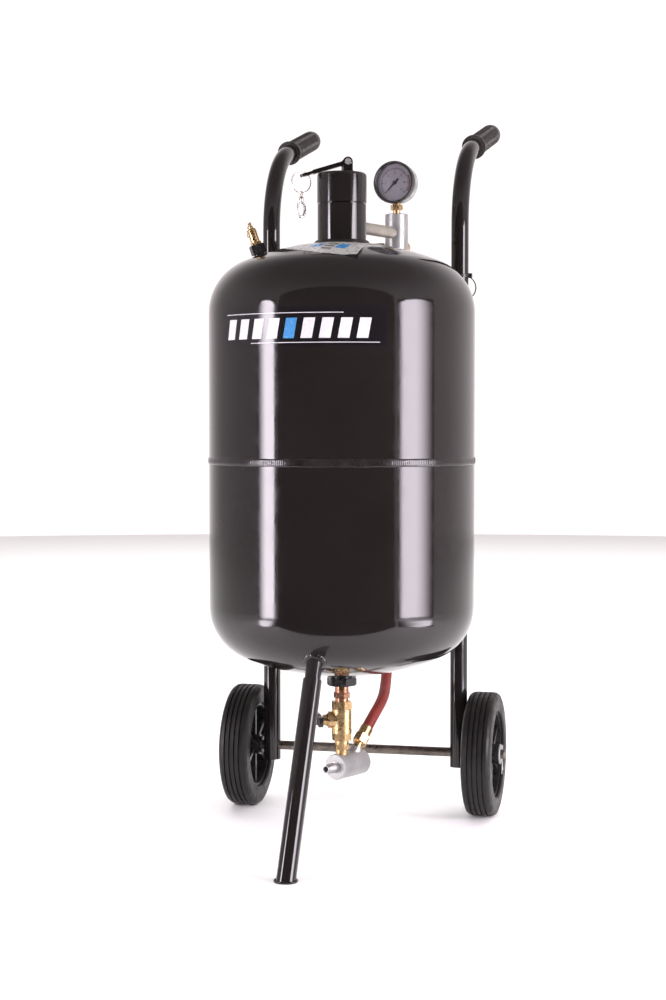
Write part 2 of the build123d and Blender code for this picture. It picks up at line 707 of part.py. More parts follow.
def rim():
    """Plastic wheel centre: rim barrel, dished web with six ribs, and the hub."""
    barrel = pipe(RIM_R, RIM_R - 4, -14.5, 14.5)
    web = pipe(RIM_R - 3, HUB_R - 2, -2, 2)
    hub = rod(HUB_R, -HUB_IN, HUB_OUT)
    body = barrel + web + hub
    for count in range(RIB_COUNT):
        rib = Pos((RIM_R + HUB_R) / 2 - 2, 0, 0) * Box(RIM_R - HUB_R - 1, 5, 22)
        body = body + Rot(0, 0, 360 / RIB_COUNT * count) * rib
    return body - rod(AXLE_R + 0.1, -40, 40)


def axle_washers():
    """A spacer inside and a washer outside each wheel."""
    pieces = []
    for side in (-1, 1):
        inner = pipe(11, AXLE_R, -HUB_IN - 3.8, -HUB_IN - 0.3)
        outer = pipe(13, AXLE_R, HUB_OUT + 0.3, HUB_OUT + 2.3)
        pieces += [wheel_frame(side) * inner, wheel_frame(side) * outer]
    return pieces


def cotter_pins():
    """Split pins: an eye above the axle and two legs hanging below."""
    pieces = []
    for side in (-1, 1):
        eye = Pos(0, 0, 9.2) * Rot(0, 90, 0) * Torus(2.4, 0.8)
        shank = rod(1.1, -9.5, 7.2)
        leg_a = Pos(0, 0, -9.3) * Rot(16, 0, 0) * rod(0.7, -14.0, 0.5)
        leg_b = Pos(0, 0, -9.3) * Rot(-10, 0, 0) * rod(0.7, -18.0, 0.5)
        pin = Pos(side * COTTER_X, TUBE_Y, AXLE_Z) * (eye + shank + leg_a + leg_b)
        pieces.append(pin)
    return pieces


# ---------------------------------------------------------------- front leg
def leg_frame():
    """Frame at the leg's upper end, z down along the leg."""
    down = Vector(*LEG_FOOT) - Vector(*LEG_TOP)
    return frame_at(LEG_TOP, down, (1, 0, 0)), down.length


def leg_stub():
    """Short tube welded under the dished end, which the leg slides over."""
    spot, _ = leg_frame()
    stub = spot * (rod(STUB_R, -60, 40) - rod(STUB_R - 2, -70, 50))
    return (stub - tank_solid()).solids().sort_by(Axis.Z)[0]


def front_leg():
    """Leg tube, cut level at the foot."""
    spot, length = leg_frame()
    tube = spot * pipe(TUBE_R, TUBE_BORE, 0, length + 30)
    ground = Pos(0, LEG_FOOT[1], FOOT_THICK - 50) * Box(200, 200, 100)
    return tube - ground


def foot_disc():
    """Flat round foot."""
    disc = rod(FOOT_R, 0, FOOT_THICK, LEG_FOOT[0], LEG_FOOT[1])
    return fillet(disc.edges().filter_by(GeomType.CIRCLE), 0.8)


# ---------------------------------------------------------------- outlet valve and mixing block
def outlet_bushing():
    """Black hexagon bushing screwed into the bottom of the tank."""
    head = hexagon(BUSHING_FLATS, BUSHING_LOW, BUSHING_TOP, 1.6)
    return head + rod(THROAT_R, BUSHING_TOP - 0.2, THROAT_TOP) - rod(6, BUSHING_LOW - 2, THROAT_TOP + 2)


def outlet_nipple():
    """Brass nipple between the bushing and the blast valve."""
    parts = rod(8.6, NIPPLE_HEX_TOP - 0.2, BUSHING_LOW) + rod(8.2, VALVE_TOP, NIPPLE_HEX_LOW + 0.2)
    parts = parts + hexagon(18, NIPPLE_HEX_LOW, NIPPLE_HEX_TOP, 0.7)
    return parts - rod(FLOW_R, VALVE_TOP - 2, BUSHING_LOW + 2)


def blast_valve_body():
    """Brass body of the blast valve: hexagon, barrel and the boss for the stem."""
    upper = hexagon(22.4, VALVE_SHOULDER, VALVE_TOP, 0.9)
    barrel = rod(12.3, BARREL_LOW, VALVE_SHOULDER + 0.2)
    boss = frame_at((0, 0, VALVE_Z), plan(VALVE_STEM_PLAN))
    neck = boss * (rod(10.6, 0, 17.5) + rod(8.2, 17.3, 19.5) + hexagon(13, 19.3, 24, 0.6))
    bore = rod(FLOW_R, BARREL_LOW - 5, VALVE_TOP + 5)
    cavity = Pos(0, 0, VALVE_Z) * Sphere(8.7)
    seat_room = rod(9.2, BARREL_LOW - 1, VALVE_Z)
    stem_hole = boss * rod(2.9, 0, 30)
    return upper + barrel + neck - bore - cavity - seat_room - stem_hole


def blast_valve_end():
    """End piece screwed into the body, with the lower hexagon."""
    ring = rod(12.6, END_HEX_TOP - 0.1, BARREL_LOW)
    screw = rod(9.1, BARREL_LOW, BARREL_LOW + 3.2)
    bore = rod(FLOW_R, VALVE_FOOT - 3, BARREL_LOW + 5)
    return hexagon(21.6, VALVE_FOOT, END_HEX_TOP, 0.8) + ring + screw - bore


def blast_valve_ball():
    """Drilled ball and stem; the drilling lies across the pipe when the valve is shut."""
    ball = Sphere(8.5) - Rot(90, 0, 0) * Cylinder(5.0, 30)
    stem = rod(2.8, 7.4, 26) + rod(2.4, 25.9, 36)
    return frame_at((0, 0, VALVE_Z), plan(VALVE_STEM_PLAN)) * (ball + stem)


def blast_valve_handle():
    """Black two-winged handle, lying level when the valve is shut."""
    lever = Pos(0, 0, 26) * wing_lever(54, 12, 5.0, 2.4)
    return frame_at((0, 0, VALVE_Z), plan(VALVE_STEM_PLAN)) * lever


def blast_valve_nut():
    """Nut that holds the handle."""
    nut = hexagon(9, 32.1, 35.6, 0.5) - rod(2.4, 30, 40)
    return frame_at((0, 0, VALVE_Z), plan(VALVE_STEM_PLAN)) * nut


def block_nipple():
    """Brass nipple from the valve down into the mixing block."""
    collar = rod(8.9, BLOCK_HEX_TOP - 0.1, VALVE_FOOT)
    screw = rod(7.8, BLOCK_NIPPLE_FOOT, BLOCK_HEX_LOW + 0.1)
    parts = collar + hexagon(17, BLOCK_HEX_LOW, BLOCK_HEX_TOP, 0.7) + screw
    return parts - rod(FLOW_R, BLOCK_NIPPLE_FOOT - 8, VALVE_FOOT + 7)


def block_frame():
    """Frame on the mixing block's axis, z pointing back along it."""
    return frame_at((0, 0, BLOCK_Z), plan(BLOCK_PLAN))


def mixing_block():
    """Zinc-plated round block where the abrasive drops into the air stream."""
    body = chamfer(rod(BLOCK_R, -BLOCK_FRONT, BLOCK_BACK).edges().filter_by(GeomType.CIRCLE), 0.9)
    boss = frame_at(port_origin(), port_direction()) * rod(8.6, 0, PORT_FACE)
    air = frame_at(port_origin(), port_direction()) * rod(3.4, -2, PORT_FACE + 2)
    seat = frame_at(port_origin(), port_direction()) * rod(SPIGOT_R, PORT_FACE, PORT_FACE + SPIGOT)
    mixing = block_frame() * rod(5.0, -BLOCK_FRONT - 1, 20)
    drop = rod(7.8, BLOCK_NIPPLE_FOOT, BLOCK_HEX_TOP)
    throat = rod(FLOW_R, BLOCK_Z, BLOCK_NIPPLE_FOOT + 2)
    return block_frame() * body + boss - air - seat - mixing - drop - throat


def outlet_barb():
    """Ridged hose barb on the front of the block."""
    face = BLOCK_FRONT
    outline = [(0, -face + 8), (5.0, -face + 8), (5.0, -face), (7.0, -face), (7.0, -face - 3.4),
               (5.4, -face - 3.6)]
    for ridge in range(3):
        start = -face - 4.4 - 4.2 * ridge
        outline += [(6.1, start), (5.1, start - 3.8)]
    outline += [(4.9, -face - BARB_LENGTH), (0, -face - BARB_LENGTH)]
    return block_frame() * (turned(outline) - rod(3.5, -60, 0))


def cable_tie():
    """Tie round the right handle tube, its tail looping out to the side."""
    band = Pos(TUBE_X, TUBE_Y, TIE_Z) * pipe(TUBE_R + 1.2, TUBE_R, -2.2, 2.2)
    lock = Pos(TUBE_X + TUBE_R + 2.6, TUBE_Y, TIE_Z) * Box(4.2, 5, 6)
    arc = ThreePointArc((TUBE_X + 13.4, TUBE_Y, TIE_Z - 2.5), (TUBE_X + 20.5, TUBE_Y, TIE_Z - 12),
                        (TUBE_X + 13.0, TUBE_Y, TIE_Z - 29))
    tail = sweep(Plane(origin=arc @ 0, x_dir=(0, 1, 0), z_dir=arc % 0) * Rectangle(3.4, 1.1),
                 path=arc)
    return band + lock + tail


# ---------------------------------------------------------------- write every sub-part
def main():
    os.makedirs("parts", exist_ok=True)

    pressure_wall = rod(NECK_R, 700, 760)
    safety_hole = safety_frame() * rod(7, -20, 2)
    write("upper_shell", shell(TANGENT_TOP, 1) - pressure_wall - safety_hole)
    write("lower_shell", shell(TANGENT_BOTTOM, -1) - rod(THROAT_R, 180, 220))
    write("weld_bead", weld_bead())

    write("filler_neck", filler_neck())
    write("filler_cap", filler_cap())
    write("cap_seal", pipe(THREAD_R - 0.3, 21, NECK_TOP + 0.2, NECK_TOP + 0.2 + SEAL_THICK))
    write("cap_lug", cap_lug())
    write("handle_pin", handle_pin())
    write("lid_handle", lid_handle())
    write("split_ring", split_ring())
    write("clasp_swivel", clasp_swivel())
    write("clasp_body", clasp_body())
    write("clasp_gate", clasp_gate())

    write("manifold_body", manifold_body())
    write("air_pipe", air_pipe())
    write("gauge_socket", gauge_socket())
    write("gauge_case", gauge_case())
    write("gauge_bezel", gauge_bezel())
    write("gauge_dial", gauge_dial())
    write("gauge_pointer", gauge_pointer())
    write("gauge_lens", gauge_lens())
    write("bourdon_tube", bourdon_tube() - gauge_socket())
    write("inlet_valve_body", inlet_valve_body())
    write("inlet_valve_ball", inlet_valve_ball())
    write("inlet_valve_lever", inlet_valve_lever())
    write("inlet_plug", inlet_plug())
    write("hose_elbow", hose_elbow())
    write("hose_couplings", *hose_couplings())
    write("air_hose", air_hose())

    write("safety_base", safety_base())
    write("safety_body", safety_body())
    write("safety_stem", safety_stem())
    write("safety_spring", safety_spring())
    write("safety_ring", safety_ring())

    for side, name in ((-1, "left"), (1, "right")):
        write(name + "_handle_tube", handle_tube(side))
        write(name + "_grip", grip(side))
        write(name + "_tyre", wheel_frame(side) * tyre())
        write(name + "_rim", wheel_frame(side) * rim())
    write("tank_brackets", *tank_brackets())
    write("axle", axle())
    write("axle_washers", *axle_washers())
    write("cotter_pins", *cotter_pins())
    write("cable_tie", cable_tie())

    write("leg_stub", leg_stub())
    write("front_leg", front_leg())
    write("foot_disc", foot_disc())

    write("outlet_bushing", outlet_bushing())
    write("outlet_nipple", outlet_nipple())
    write("blast_valve_body", blast_valve_body())
    write("blast_valve_end", blast_valve_end())
    write("blast_valve_ball", blast_valve_ball())
    write("blast_valve_handle", blast_valve_handle())
    write("blast_valve_nut", blast_valve_nut())
    write("block_nipple", block_nipple())
    write("mixing_block", mixing_block())
    write("outlet_barb", outlet_barb())


main()
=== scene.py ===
"""Looks for the wheeled blasting pot: camera, studio, materials and the detailed pieces.

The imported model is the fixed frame. Everything here is in metres in that frame, and every
piece rides on one of its bodies.
"""

import bpy
import json
from math import atan2, cos, degrees, pi, radians, sin, sqrt, tau
from mathutils import Matrix, Vector, noise
from mathutils.bvhtree import BVHTree


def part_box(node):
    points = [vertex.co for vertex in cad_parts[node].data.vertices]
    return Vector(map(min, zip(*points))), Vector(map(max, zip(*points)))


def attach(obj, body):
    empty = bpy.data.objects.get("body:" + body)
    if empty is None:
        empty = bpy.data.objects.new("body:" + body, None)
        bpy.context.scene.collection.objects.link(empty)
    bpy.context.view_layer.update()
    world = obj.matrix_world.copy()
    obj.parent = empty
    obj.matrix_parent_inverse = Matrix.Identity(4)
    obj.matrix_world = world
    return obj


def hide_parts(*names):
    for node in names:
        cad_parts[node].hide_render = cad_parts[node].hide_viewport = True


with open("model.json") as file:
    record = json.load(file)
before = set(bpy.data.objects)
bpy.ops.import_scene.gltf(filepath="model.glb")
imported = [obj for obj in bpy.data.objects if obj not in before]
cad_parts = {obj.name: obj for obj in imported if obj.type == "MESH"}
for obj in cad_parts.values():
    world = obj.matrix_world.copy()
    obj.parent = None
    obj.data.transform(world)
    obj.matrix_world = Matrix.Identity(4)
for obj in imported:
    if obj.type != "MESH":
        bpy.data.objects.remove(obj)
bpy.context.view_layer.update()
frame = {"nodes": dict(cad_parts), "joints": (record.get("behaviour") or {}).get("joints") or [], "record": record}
nodes = frame["nodes"]
joints = {joint["name"]: joint for joint in frame["joints"]}

# ---------------------------------------------------------------- camera and studio
# The camera's place is in metres, its turn and pitch in degrees, its lens in millimetres.
CAMERA_AT = (0.53126, -2.31487, 0.51598)
CAMERA_TURN = 13.419
CAMERA_PITCH = 2.493
CAMERA_LENS = 67.5
SENSOR_WIDTH = 36.0
FLOOR_RADIUS = 6.0
FLOOR_STEPS = 96

tank_low, tank_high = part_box("upper_shell")
TANK_X = (tank_low.x + tank_high.x) / 2
TANK_Y = (tank_low.y + tank_high.y) / 2
TANK_R = (tank_high.x - tank_low.x) / 2
# Angle round the tank, in degrees from -Y towards +X, of the side that faces the camera.
CAMERA_SIDE = 13.15

SOFTBOX_TINT = (0.98, 0.90, 0.99)
SOFTBOX_DISTANCE = 1.35
SOFTBOX_BOW = 0.55
SOFTBOX_FOOT_FADE = 0.05
SOFTBOX_TOP_FADE = 0.955
SPILL_REACH = 0.78
SPILL_HEIGHT = 0.005
SPILL_SHARE = 0.8

CARD_DISTANCE = 1.55
CARD_LEFT = -53.0
CARD_SPAN = 96.0
CARD_STEPS = 40
CARD_SIDE_HEIGHT = 1.25
CARD_ARCH = 0.7
FLOOR_CARD_LEFT = -56.0
FLOOR_CARD_PITCH = 2.7
FLOOR_CARD_POINTS = 38
FLOOR_CARD_HEIGHT = 0.003
FLOOR_CARD_INNER = 0.46
FLOOR_CARD_FLARE = 0.42
FLOOR_CARD_OUTER = 1.56

HORIZON_COLOUR = (1.0, 0.93, 0.94, 1)
OVERHEAD_COLOUR = (0.35, 0.31, 0.32, 1)


def link(thing):
    """Puts an object in the scene."""
    bpy.context.scene.collection.objects.link(thing)
    return thing


def side_sign(side):
    """-1 on the left, 1 on the right."""
    return -1 if side == "left" else 1


def make_camera():
    """Camera with the photo's viewpoint and lens."""
    data = bpy.data.cameras.new("camera")
    data.sensor_width = SENSOR_WIDTH
    data.lens = CAMERA_LENS
    camera = link(bpy.data.objects.new("camera", data))
    camera.location = CAMERA_AT
    camera.rotation_euler = (radians(90 - CAMERA_PITCH), 0, radians(CAMERA_TURN))
    bpy.context.scene.camera = camera


def mesh_object(name, vertices, faces, smooth=True):
    """New object from points and faces in the shared frame."""
    mesh = bpy.data.meshes.new(name)
    mesh.from_pydata([tuple(v) for v in vertices], [], faces)
    mesh.update()
    if smooth:
        mesh.polygons.foreach_set("use_smooth", [True] * len(mesh.polygons))
    return link(bpy.data.objects.new(name, mesh))


def around_tank(degrees_from_camera, distance, height):
    """Point round the tank, at an angle from the camera's side, positive to the right."""
    angle = radians(CAMERA_SIDE + degrees_from_camera)
    return Vector((TANK_X + sin(angle) * distance, TANK_Y - cos(angle) * distance, height))


def maths(tree, operation, first, second):
    """One maths node; either value may be a number or another node's output."""
    node = tree.nodes.new("ShaderNodeMath")
    node.operation = operation
    for socket, value in zip(node.inputs, (first, second)):
        if isinstance(value, float):
            socket.default_value = value
        else:
            tree.links.new(value, socket)
    return node.outputs[0]


def ease(tree, value, start, end, low=0.0, high=1.0, smooth=True):
    """Carries a value from one range to another; low may be another node's output."""
    node = tree.nodes.new("ShaderNodeMapRange")
    if smooth:
        node.interpolation_type = "SMOOTHSTEP"
    tree.links.new(value, node.inputs["Value"])
    for socket, setting in (("From Min", start), ("From Max", end), ("To Min", low), ("To Max", high)):
        if isinstance(setting, (int, float)):
            node.inputs[socket].default_value = setting
        else:
            tree.links.new(setting, node.inputs[socket])
    return node.outputs[0]


def emission_material(name, radiance, low_edge, high_edge):
    """Glow that fades in from a panel's upright sides, under a top edge that is bowed."""
    material = bpy.data.materials.new(name)
    material.use_nodes = True
    tree = material.node_tree
    tree.nodes.clear()
    output = tree.nodes.new("ShaderNodeOutputMaterial")
    glow = tree.nodes.new("ShaderNodeEmission")
    tree.links.new(glow.outputs[0], output.inputs[0])
    coords = tree.nodes.new("ShaderNodeTexCoord")
    split = tree.nodes.new("ShaderNodeSeparateXYZ")
    tree.links.new(coords.outputs["UV"], split.inputs[0])
    across, up = split.outputs["X"], split.outputs["Y"]
    middle = maths(tree, "SUBTRACT", across, 0.5)
    bow = maths(tree, "MULTIPLY", maths(tree, "MULTIPLY", middle, middle), SOFTBOX_BOW)
    raised = maths(tree, "ADD", up, bow)
    level = 1.0
    for value, start, end in ((across, 0.0, low_edge), (across, 1.0, 1.0 - high_edge),
                              (up, 0.0, SOFTBOX_FOOT_FADE), (raised, 1.0, SOFTBOX_TOP_FADE)):
        level = maths(tree, "MULTIPLY", level, ease(tree, value, start, end))
    tree.links.new(maths(tree, "MULTIPLY", level, radiance), glow.inputs["Strength"])
    glow.inputs["Color"].default_value = (*SOFTBOX_TINT, 1)
    return material


def glow_panel(name, corners, material):
    """One glowing quad, hidden from the camera; its UVs run along the first edge, then up."""
    panel = mesh_object(name, corners, [(0, 1, 2, 3)], smooth=False)
    panel.data.uv_layers.new(name="panel")
    for loop, uv in zip(panel.data.uv_layers[0].data, ((0, 0), (1, 0), (1, 1), (0, 1))):
        loop.uv = uv
    panel.data.materials.append(material)
    panel.visible_camera = False
    panel.visible_shadow = False
    return panel


def softbox(name, low_angle, high_angle, bottom, top, radiance, low_edge, high_edge):
    """Upright glowing panel between two angles round the tank, and its glow on the floor."""
    a = around_tank(low_angle, SOFTBOX_DISTANCE, bottom)
    b = around_tank(high_angle, SOFTBOX_DISTANCE, bottom)
    rise = Vector((0, 0, top - bottom))
    panel_glow = emission_material(name, radiance, low_edge, high_edge)
    glow_panel(name, (a, b, b + rise, a + rise), panel_glow)
    c = around_tank(low_angle, SPILL_REACH, SPILL_HEIGHT)
    d = around_tank(high_angle, SPILL_REACH, SPILL_HEIGHT)
    drop = Vector((0, 0, SPILL_HEIGHT - bottom))
    spill_glow = emission_material(name + "_spill", SPILL_SHARE * radiance, low_edge, high_edge)
    spill = glow_panel(name + "_spill", (b + drop, a + drop, c, d), spill_glow)
    spill.visible_diffuse = False


def floor_card_reach(angle):
    """How far the floor card's inner edge stays from the tank's axis: least near the leg."""
    return FLOOR_CARD_INNER + FLOOR_CARD_FLARE * (abs(angle + 5) / 52) ** 3


def dark_card():
    """Black card before the pot, standing and on the floor, seen only in reflections."""
    feet, tops = [], []
    for step in range(CARD_STEPS + 1):
        share = step / CARD_STEPS
        foot = around_tank(CARD_LEFT + CARD_SPAN * share, CARD_DISTANCE, 0.0)
        feet.append(foot)
        tops.append(foot + Vector((0, 0, CARD_SIDE_HEIGHT + CARD_ARCH * sin(pi * share) ** 0.7)))
    angles = [FLOOR_CARD_LEFT + FLOOR_CARD_PITCH * i for i in range(FLOOR_CARD_POINTS)]
    inner = [around_tank(angle, floor_card_reach(angle), FLOOR_CARD_HEIGHT) for angle in angles]
    outer = [around_tank(angle, FLOOR_CARD_OUTER, FLOOR_CARD_HEIGHT) for angle in angles]
    faces = []
    for base, count in ((0, len(feet)), (2 * len(feet), len(angles))):
        faces += [(base + i, base + i + 1, base + i + 1 + count, base + i + count)
                  for i in range(count - 1)]
    vertices = feet + tops + inner + outer
    card = mesh_object("dark_card", vertices, faces)
    material = bpy.data.materials.new("dark_card")
    material.use_nodes = True
    shader = material.node_tree.nodes["Principled BSDF"]
    shader.inputs["Base Color"].default_value = (0.004, 0.004, 0.004, 1)
    shader.inputs["Roughness"].default_value = 1.0
    shader.inputs["Specular IOR Level"].default_value = 0.0
    card.data.materials.append(material)
    card.visible_camera = False
    card.visible_shadow = False
    card.visible_diffuse = False


def area_light(name, at, target, width, height, watts):
    """Soft light, size in metres, that lights surfaces but isn't mirrored in them."""
    data = bpy.data.lights.new(name, "AREA")
    data.shape = "RECTANGLE"
    data.size = width
    data.size_y = height
    data.energy = watts
    light = link(bpy.data.objects.new(name, data))
    light.location = at
    light.rotation_euler = (Vector(target) - Vector(at)).to_track_quat("-Z", "Y").to_euler()
    light.visible_camera = False
    light.visible_glossy = False


def make_world():
    """Pale surround: white behind the pot, greyer at its sides and overhead."""
    world = bpy.data.worlds.new("studio")
    bpy.context.scene.world = world
    world.use_nodes = True
    tree = world.node_tree
    background = tree.nodes["Background"]
    coords = tree.nodes.new("ShaderNodeTexCoord")
    split = tree.nodes.new("ShaderNodeSeparateXYZ")
    ramp = tree.nodes.new("ShaderNodeValToRGB")
    ramp.color_ramp.elements[0].position = 0.42
    ramp.color_ramp.elements[0].color = HORIZON_COLOUR
    ramp.color_ramp.elements[1].position = 0.85
    ramp.color_ramp.elements[1].color = OVERHEAD_COLOUR
    tree.links.new(coords.outputs["Generated"], split.inputs[0])
    side = ease(tree, split.outputs["X"], -0.8, 0.8, 0.56, 0.80, smooth=False)
    behind = ease(tree, split.outputs["Y"], 0.35, 0.9, side, 1.12)
    tree.links.new(split.outputs["Z"], ramp.inputs[0])
    tree.links.new(ramp.outputs[0], background.inputs["Color"])
    tree.links.new(behind, background.inputs["Strength"])


def make_floor():
    """Round pale floor at the height of the foot and tyres."""
    vertices = [(0, 0, 0)]
    for step in range(FLOOR_STEPS):
        angle = tau * step / FLOOR_STEPS
        vertices.append((FLOOR_RADIUS * cos(angle), FLOOR_RADIUS * sin(angle), 0))
    faces = [(0, 1 + i, 1 + (i + 1) % FLOOR_STEPS) for i in range(FLOOR_STEPS)]
    floor = mesh_object("floor", vertices, faces)
    material = bpy.data.materials.new("floor")
    material.use_nodes = True
    shader = material.node_tree.nodes["Principled BSDF"]
    shader.inputs["Base Color"].default_value = (0.93, 0.925, 0.92, 1)
    shader.inputs["Roughness"].default_value = 0.55
    shader.inputs["Specular IOR Level"].default_value = 0.25
    floor.data.materials.append(material)


def make_studio():
    """White studio: two softboxes and a dark card for the tank to mirror, and soft lights."""
    bpy.context.scene.view_settings.view_transform = "Standard"
    make_world()
    make_floor()
    dark_card()
    softbox("left_softbox", -72.0, -55.0, bottom=0.02, top=0.98, radiance=21.0,
            low_edge=0.55, high_edge=0.10)
    softbox("right_softbox", 45.5, 80.5, bottom=0.05, top=1.00, radiance=16.0,
            low_edge=0.16, high_edge=0.60)
    area_light("overhead", at=(0.1, -0.3, 2.9), target=(0.0, 0.0, 0.0),
               width=3.2, height=3.2, watts=34.0)
    area_light("floor_wash", at=(0.0, 2.6, 2.6), target=(0.0, 2.4, 0.0),
               width=6.0, height=4.0, watts=150.0)
    area_light("front_fill", at=(0.7, -3.4, 1.4), target=(0.0, 0.0, 0.5),
               width=2.0, height=1.4, watts=22.0)


# ---------------------------------------------------------------- materials
class Surface:
    """A Principled material built from object coordinates in metres."""

    def __init__(self, name, colour, roughness, metallic=0.0):
        self.material = bpy.data.materials.new(name)
        self.material.use_nodes = True
        self.tree = self.material.node_tree
        self.shader = self.tree.nodes["Principled BSDF"]
        self.shader.inputs["Base Color"].default_value = (*colour, 1)
        self.shader.inputs["Roughness"].default_value = roughness
        self.shader.inputs["Metallic"].default_value = metallic
        self.coords = self.tree.nodes.new("ShaderNodeTexCoord").outputs["Object"]
        self.normal = None

    def set(self, **sockets):
        """Sets shader inputs by name, with _ for each space."""
        for name, value in sockets.items():
            self.shader.inputs[name.replace("_", " ")].default_value = value
        return self

    def noise(self, scale, detail=2.0, stretch=(1, 1, 1), roughness=0.5):
        """Noise with about scale blotches to the metre, times the stretch along each axis."""
        mapping = self.tree.nodes.new("ShaderNodeMapping")
        mapping.inputs["Scale"].default_value = stretch
        self.tree.links.new(self.coords, mapping.inputs["Vector"])
        texture = self.tree.nodes.new("ShaderNodeTexNoise")
        texture.inputs["Scale"].default_value = scale
        texture.inputs["Detail"].default_value = detail
        texture.inputs["Roughness"].default_value = roughness
        self.tree.links.new(mapping.outputs[0], texture.inputs["Vector"])
        return texture.outputs["Fac"]

    def cells(self, scale):
        """Distance to the nearest cell's middle."""
        texture = self.tree.nodes.new("ShaderNodeTexVoronoi")
        texture.inputs["Scale"].default_value = scale
        self.tree.links.new(self.coords, texture.inputs["Vector"])
        return texture.outputs["Distance"]

    def ease(self, value, low, high, to_low=0.0, to_high=1.0):
        """Smooth step of a value from one range to another."""
        return ease(self.tree, value, low, high, to_low, to_high)

    def colours(self, value, *stops):
        """Colour ramp: stops are (position, (r, g, b))."""
        node = self.tree.nodes.new("ShaderNodeValToRGB")
        ramp = node.color_ramp
        ramp.elements[0].position, ramp.elements[1].position = stops[0][0], stops[-1][0]
        ramp.elements[0].color = (*stops[0][1], 1)
        ramp.elements[1].color = (*stops[-1][1], 1)
        for position, colour in stops[1:-1]:
            ramp.elements.new(position).color = (*colour, 1)
        self.tree.links.new(value, node.inputs[0])
        return node.outputs[0]

    def mix(self, factor, low, high):
        """Blend of two colours; inputs 6 and 7 are the node's colour sockets."""
        node = self.tree.nodes.new("ShaderNodeMix")
        node.data_type = "RGBA"
        self.tree.links.new(factor, node.inputs["Factor"])
        for socket, value in ((node.inputs[6], low), (node.inputs[7], high)):
            if isinstance(value, tuple):
                socket.default_value = (*value, 1)
            else:
                self.tree.links.new(value, socket)
        return node.outputs[2]

    def colour(self, value):
        """Base colour from a node's output."""
        self.tree.links.new(value, self.shader.inputs["Base Color"])
        return self

    def gloss(self, value, low, high, rough_low, rough_high):
        """Roughness that follows a value between two limits."""
        self.tree.links.new(self.ease(value, low, high, rough_low, rough_high),
                            self.shader.inputs["Roughness"])
        return self

    def bump(self, value, distance, strength=1.0):
        """Relief in metres, laid over any bump or rounding before it."""
        node = self.tree.nodes.new("ShaderNodeBump")
        node.inputs["Distance"].default_value = distance
        node.inputs["Strength"].default_value = strength
        self.tree.links.new(value, node.inputs["Height"])
        if self.normal is not None:
            self.tree.links.new(self.normal, node.inputs["Normal"])
        self.normal = node.outputs[0]
        self.tree.links.new(self.normal, self.shader.inputs["Normal"])
        return self

    def rounded(self, radius):
        """Softens the look of hard edges; call it before any bump."""
        node = self.tree.nodes.new("ShaderNodeBevel")
        node.samples = 4
        node.inputs["Radius"].default_value = radius
        self.normal = node.outputs[0]
        self.tree.links.new(self.normal, self.shader.inputs["Normal"])
        return self


def enamel(name, dents=0.00035, peel=0.00002):
    """Gloss black enamel over sheet steel: slow dents, orange peel and faint dust."""
    paint = Surface(name, (0.0115, 0.0094, 0.0091), 0.07)
    tint = paint.noise(9, 3)
    paint.colour(paint.colours(tint, (0.3, (0.0100, 0.0081, 0.0079)), (0.7, (0.0130, 0.0108, 0.0104))))
    paint.gloss(paint.noise(55, 4), 0.3, 0.75, 0.045, 0.13)
    paint.bump(paint.noise(7, 1), dents)
    paint.bump(paint.noise(420, 2), peel)
    return paint.material


def weld_paint():
    """The same black enamel, duller and grainier over weld metal."""
    paint = Surface("weld_paint", (0.014, 0.011, 0.011), 0.12)
    paint.colour(paint.colours(paint.noise(60, 3), (0.35, (0.010, 0.008, 0.008)),
                               (0.7, (0.020, 0.017, 0.017))))
    paint.gloss(paint.noise(200, 2), 0.3, 0.7, 0.06, 0.22)
    paint.bump(paint.noise(700, 2), 0.00008)
    return paint.material


def satin_black(name, base, rough):
    """Satin plastic or paint; base is its grey level."""
    paint = Surface(name, (base, base * 0.95, base * 0.93), rough)
    paint.rounded(0.0005)
    paint.colour(paint.colours(paint.noise(90, 3), (0.3, (base * 0.7,) * 3), (0.75, (base * 1.5,) * 3)))
    paint.gloss(paint.noise(160, 3), 0.3, 0.7, rough * 0.7, rough * 1.4)
    paint.bump(paint.noise(900, 2), 0.00003)
    return paint.material


def zinc_plate():
    """Bright zinc over turned steel: fine tool marks, soft blotches and a bluish cast."""
    metal = Surface("zinc", (0.50, 0.50, 0.51), 0.42, 0.70)
    metal.rounded(0.0004)
    metal.colour(metal.colours(metal.noise(38, 4), (0.28, (0.34, 0.34, 0.34)), (0.5, (0.42, 0.42, 0.415)),
                               (0.78, (0.50, 0.49, 0.48))))
    metal.gloss(metal.noise(120, 4), 0.25, 0.8, 0.34, 0.52)
    metal.bump(metal.noise(900, 2, (0.15, 0.15, 1)), 0.00003)
    metal.bump(metal.noise(1500, 1), 0.00001)
    return metal.material


def galvanised():
    """Dull warm zinc on gas pipe, with spangle and handling marks."""
    metal = Surface("galvanised", (0.60, 0.58, 0.50), 0.45, 0.55)
    spangle = metal.cells(260)
    tone = metal.colours(metal.noise(45, 4), (0.3, (0.29, 0.26, 0.215)), (0.7, (0.42, 0.38, 0.325)))
    metal.colour(metal.mix(metal.ease(spangle, 0.1, 0.6, 0.0, 0.35), tone, (0.47, 0.44, 0.39)))
    metal.gloss(metal.noise(140, 3), 0.3, 0.75, 0.34, 0.58)
    metal.bump(metal.noise(350, 3), 0.00008)
    return metal.material


